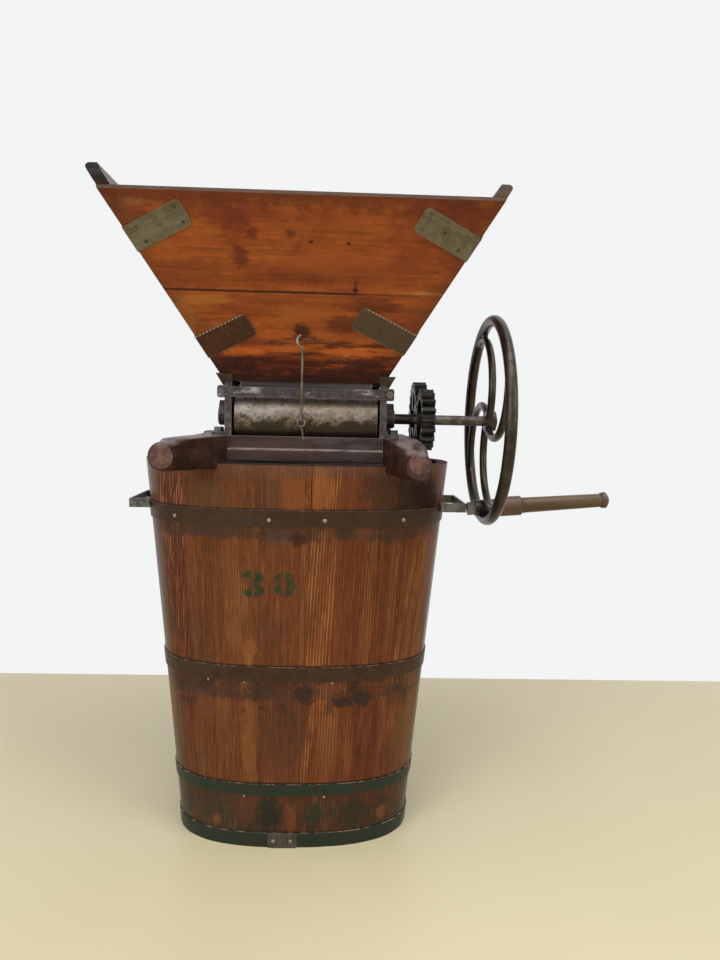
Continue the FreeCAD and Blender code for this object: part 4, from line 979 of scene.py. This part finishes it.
iron(["hopper_upper_straps"], 0.0, "strap_iron", 6, (110, 100, 78), (92, 83, 62), (160, 150, 124), 0.4,
     rough=(0.4, 0.6), edge_share=0.8, extra=strap_ridge_light_and_shade)
iron(["hopper_lower_straps"], 0.0, "low_strap_iron", 7, (72, 37, 15), (58, 29, 12), (186, 168, 138), 0.3,
     rough=(0.36, 0.55), edge_share=0.9, extra=right_grey_and_edge_highlight)
iron(["hopper_nails"], 0.0, "nail_iron", 15, (96, 84, 66), (60, 48, 36), (150, 140, 120), 0.6, edge_share=0.0)
iron(["bearing_bushes"], 0.0005, "bush_brass", 8, (120, 104, 74), (60, 50, 38), (200, 180, 130), 0.8)
iron(["tub_rivets"], 0.0, "rivet_iron", 9, (172, 156, 138), (130, 112, 94), (210, 200, 190), 0.5,
     edge_share=0.0)
iron(["frame_bolts", "crank_handle_bolt", "crank_handle_nut"], 0.0004, "bolt_iron", 18, (124, 118, 114),
     (86, 78, 74), (190, 184, 178), 0.6)
iron(["latch_screw_eyes", "front_latch_hook", "rear_latch_hook"], 0.0, "wire_steel", 10, (142, 134, 124),
     (106, 96, 86), (200, 196, 190), 0.8, rough=(0.3, 0.45), edge_share=0.0)
iron(["front_roller", "rear_roller"], 0.0008, "roller_iron", 11, (156, 148, 140), (130, 118, 106),
     (210, 200, 190), 0.75, patch_size=0.014, rough=(0.32, 0.5), stretch=(0.6, 1, 1), extra=barrel_rust_and_shade)
iron(["crank_shaft", "rear_shaft"], 0.0, "shaft_steel", 12, (108, 102, 95), (76, 69, 62),
     (170, 164, 156), 0.8, rough=(0.25, 0.45), extra=shaft_wear)
iron(["crank_gear", "rear_gear"], 0.0006, "gear_iron", 13, (58, 55, 52), (38, 35, 33), (124, 120, 114), 0.6,
     rough=(0.3, 0.5))
iron(["flywheel"], 0.0, "wheel_iron", 14, (70, 63, 55), (52, 45, 37), (130, 118, 104), 0.7,
     rough=(0.24, 0.38), edge_share=0.0, pits=0.0002)

for node in nodes.values():
    for face in node.data.polygons:
        face.use_smooth = True
    node.data.set_sharp_from_angle(angle=math.radians(35))


# Floor and wall
def flat_sheet(name, corners, material):
    mesh = bpy.data.meshes.new(name)
    mesh.from_pydata(corners, [], [tuple(range(len(corners)))])
    piece = bpy.data.objects.new(name, mesh)
    bpy.context.scene.collection.objects.link(piece)
    mesh.materials.append(material)
    return piece


def floor_material():
    paint = Paint("floor")
    cloud = paint.patches(paint.place, 1.2, 3, 0.5, 1, 0.3, 0.7)
    paint.tone = paint.mix(cloud, (224, 212, 174), (218, 205, 166))
    return paint.finish(0.35, specular=0.35)


def wall_material():
    """A white wall that shows itself evenly to the camera and is clear from behind."""
    paint = Paint("wall")
    plain = paint.shader("BsdfDiffuse", (225, 226, 226))
    front = paint.choose(paint.seen_directly(), plain, paint.shader("Emission", wall_colour))
    behind = paint.add("NewGeometry").outputs["Backfacing"]
    return paint.show(paint.choose(behind, front, paint.shader("BsdfTransparent", (255, 255, 255))))


reach = 9.0
floor_corners = [(-reach, -reach, 0), (reach, -reach, 0), (reach, reach, 0), (-reach, reach, 0)]
flat_sheet("floor", floor_corners, floor_material())
left_end, right_end = (wall_distance + side * reach * math.tan(wall_turn) for side in (-1, 1))
wall = flat_sheet(
    "wall",
    [(-reach, left_end, -0.01), (reach, right_end, -0.01), (reach, right_end, 5.0), (-reach, left_end, 5.0)],
    wall_material(),
)
# The wall takes no part in the light on the floor, so that the floor has no edge behind it
wall.visible_diffuse = False
wall.visible_shadow = False

# Lights
world = Paint("studio", bpy.data.worlds)
dim = world.shader("Background", (236, 240, 246), world_light)
white = world.shader("Background", wall_colour, 1.0)
bpy.context.scene.world = world.show(world.choose(world.seen_directly(), dim, white), "OutputWorld")


def soft_light(name, place, target_height, width, height, power):
    data = bpy.data.lights.new(name, "AREA")
    data.shape = "RECTANGLE"
    data.size = width
    data.size_y = height
    data.energy = power
    lamp = bpy.data.objects.new(name, data)
    bpy.context.scene.collection.objects.link(lamp)
    lamp.location = place
    towards = Vector((0.0, 0.0, target_height)) - Vector(place)
    lamp.rotation_euler = towards.to_track_quat("-Z", "Y").to_euler()


soft_light("ceiling_light", (0.2, -0.9, 3.0), 0.5, 2.6, 2.2, 62.0)
soft_light("front_left_light", (-2.2, -2.6, 1.9), 0.6, 1.8, 1.8, 40.0)
soft_light("right_light", (2.6, -1.6, 1.6), 0.6, 1.4, 1.8, 16.0)

# Camera
camera_data = bpy.data.cameras.new("camera")
camera_data.sensor_width = sensor_size
camera_data.lens = focal_pixels / image_height * sensor_size
camera = bpy.data.objects.new("camera", camera_data)
bpy.context.scene.collection.objects.link(camera)
aim = Matrix.Rotation(-camera_yaw, 4, "Z") @ Matrix.Rotation(math.pi / 2 - camera_pitch, 4, "X")
camera.matrix_world = Matrix.Translation(camera_place) @ aim @ Matrix.Rotation(camera_roll, 4, "Z")
bpy.context.scene.camera = camera
bpy.context.scene.view_settings.view_transform = "Standard"
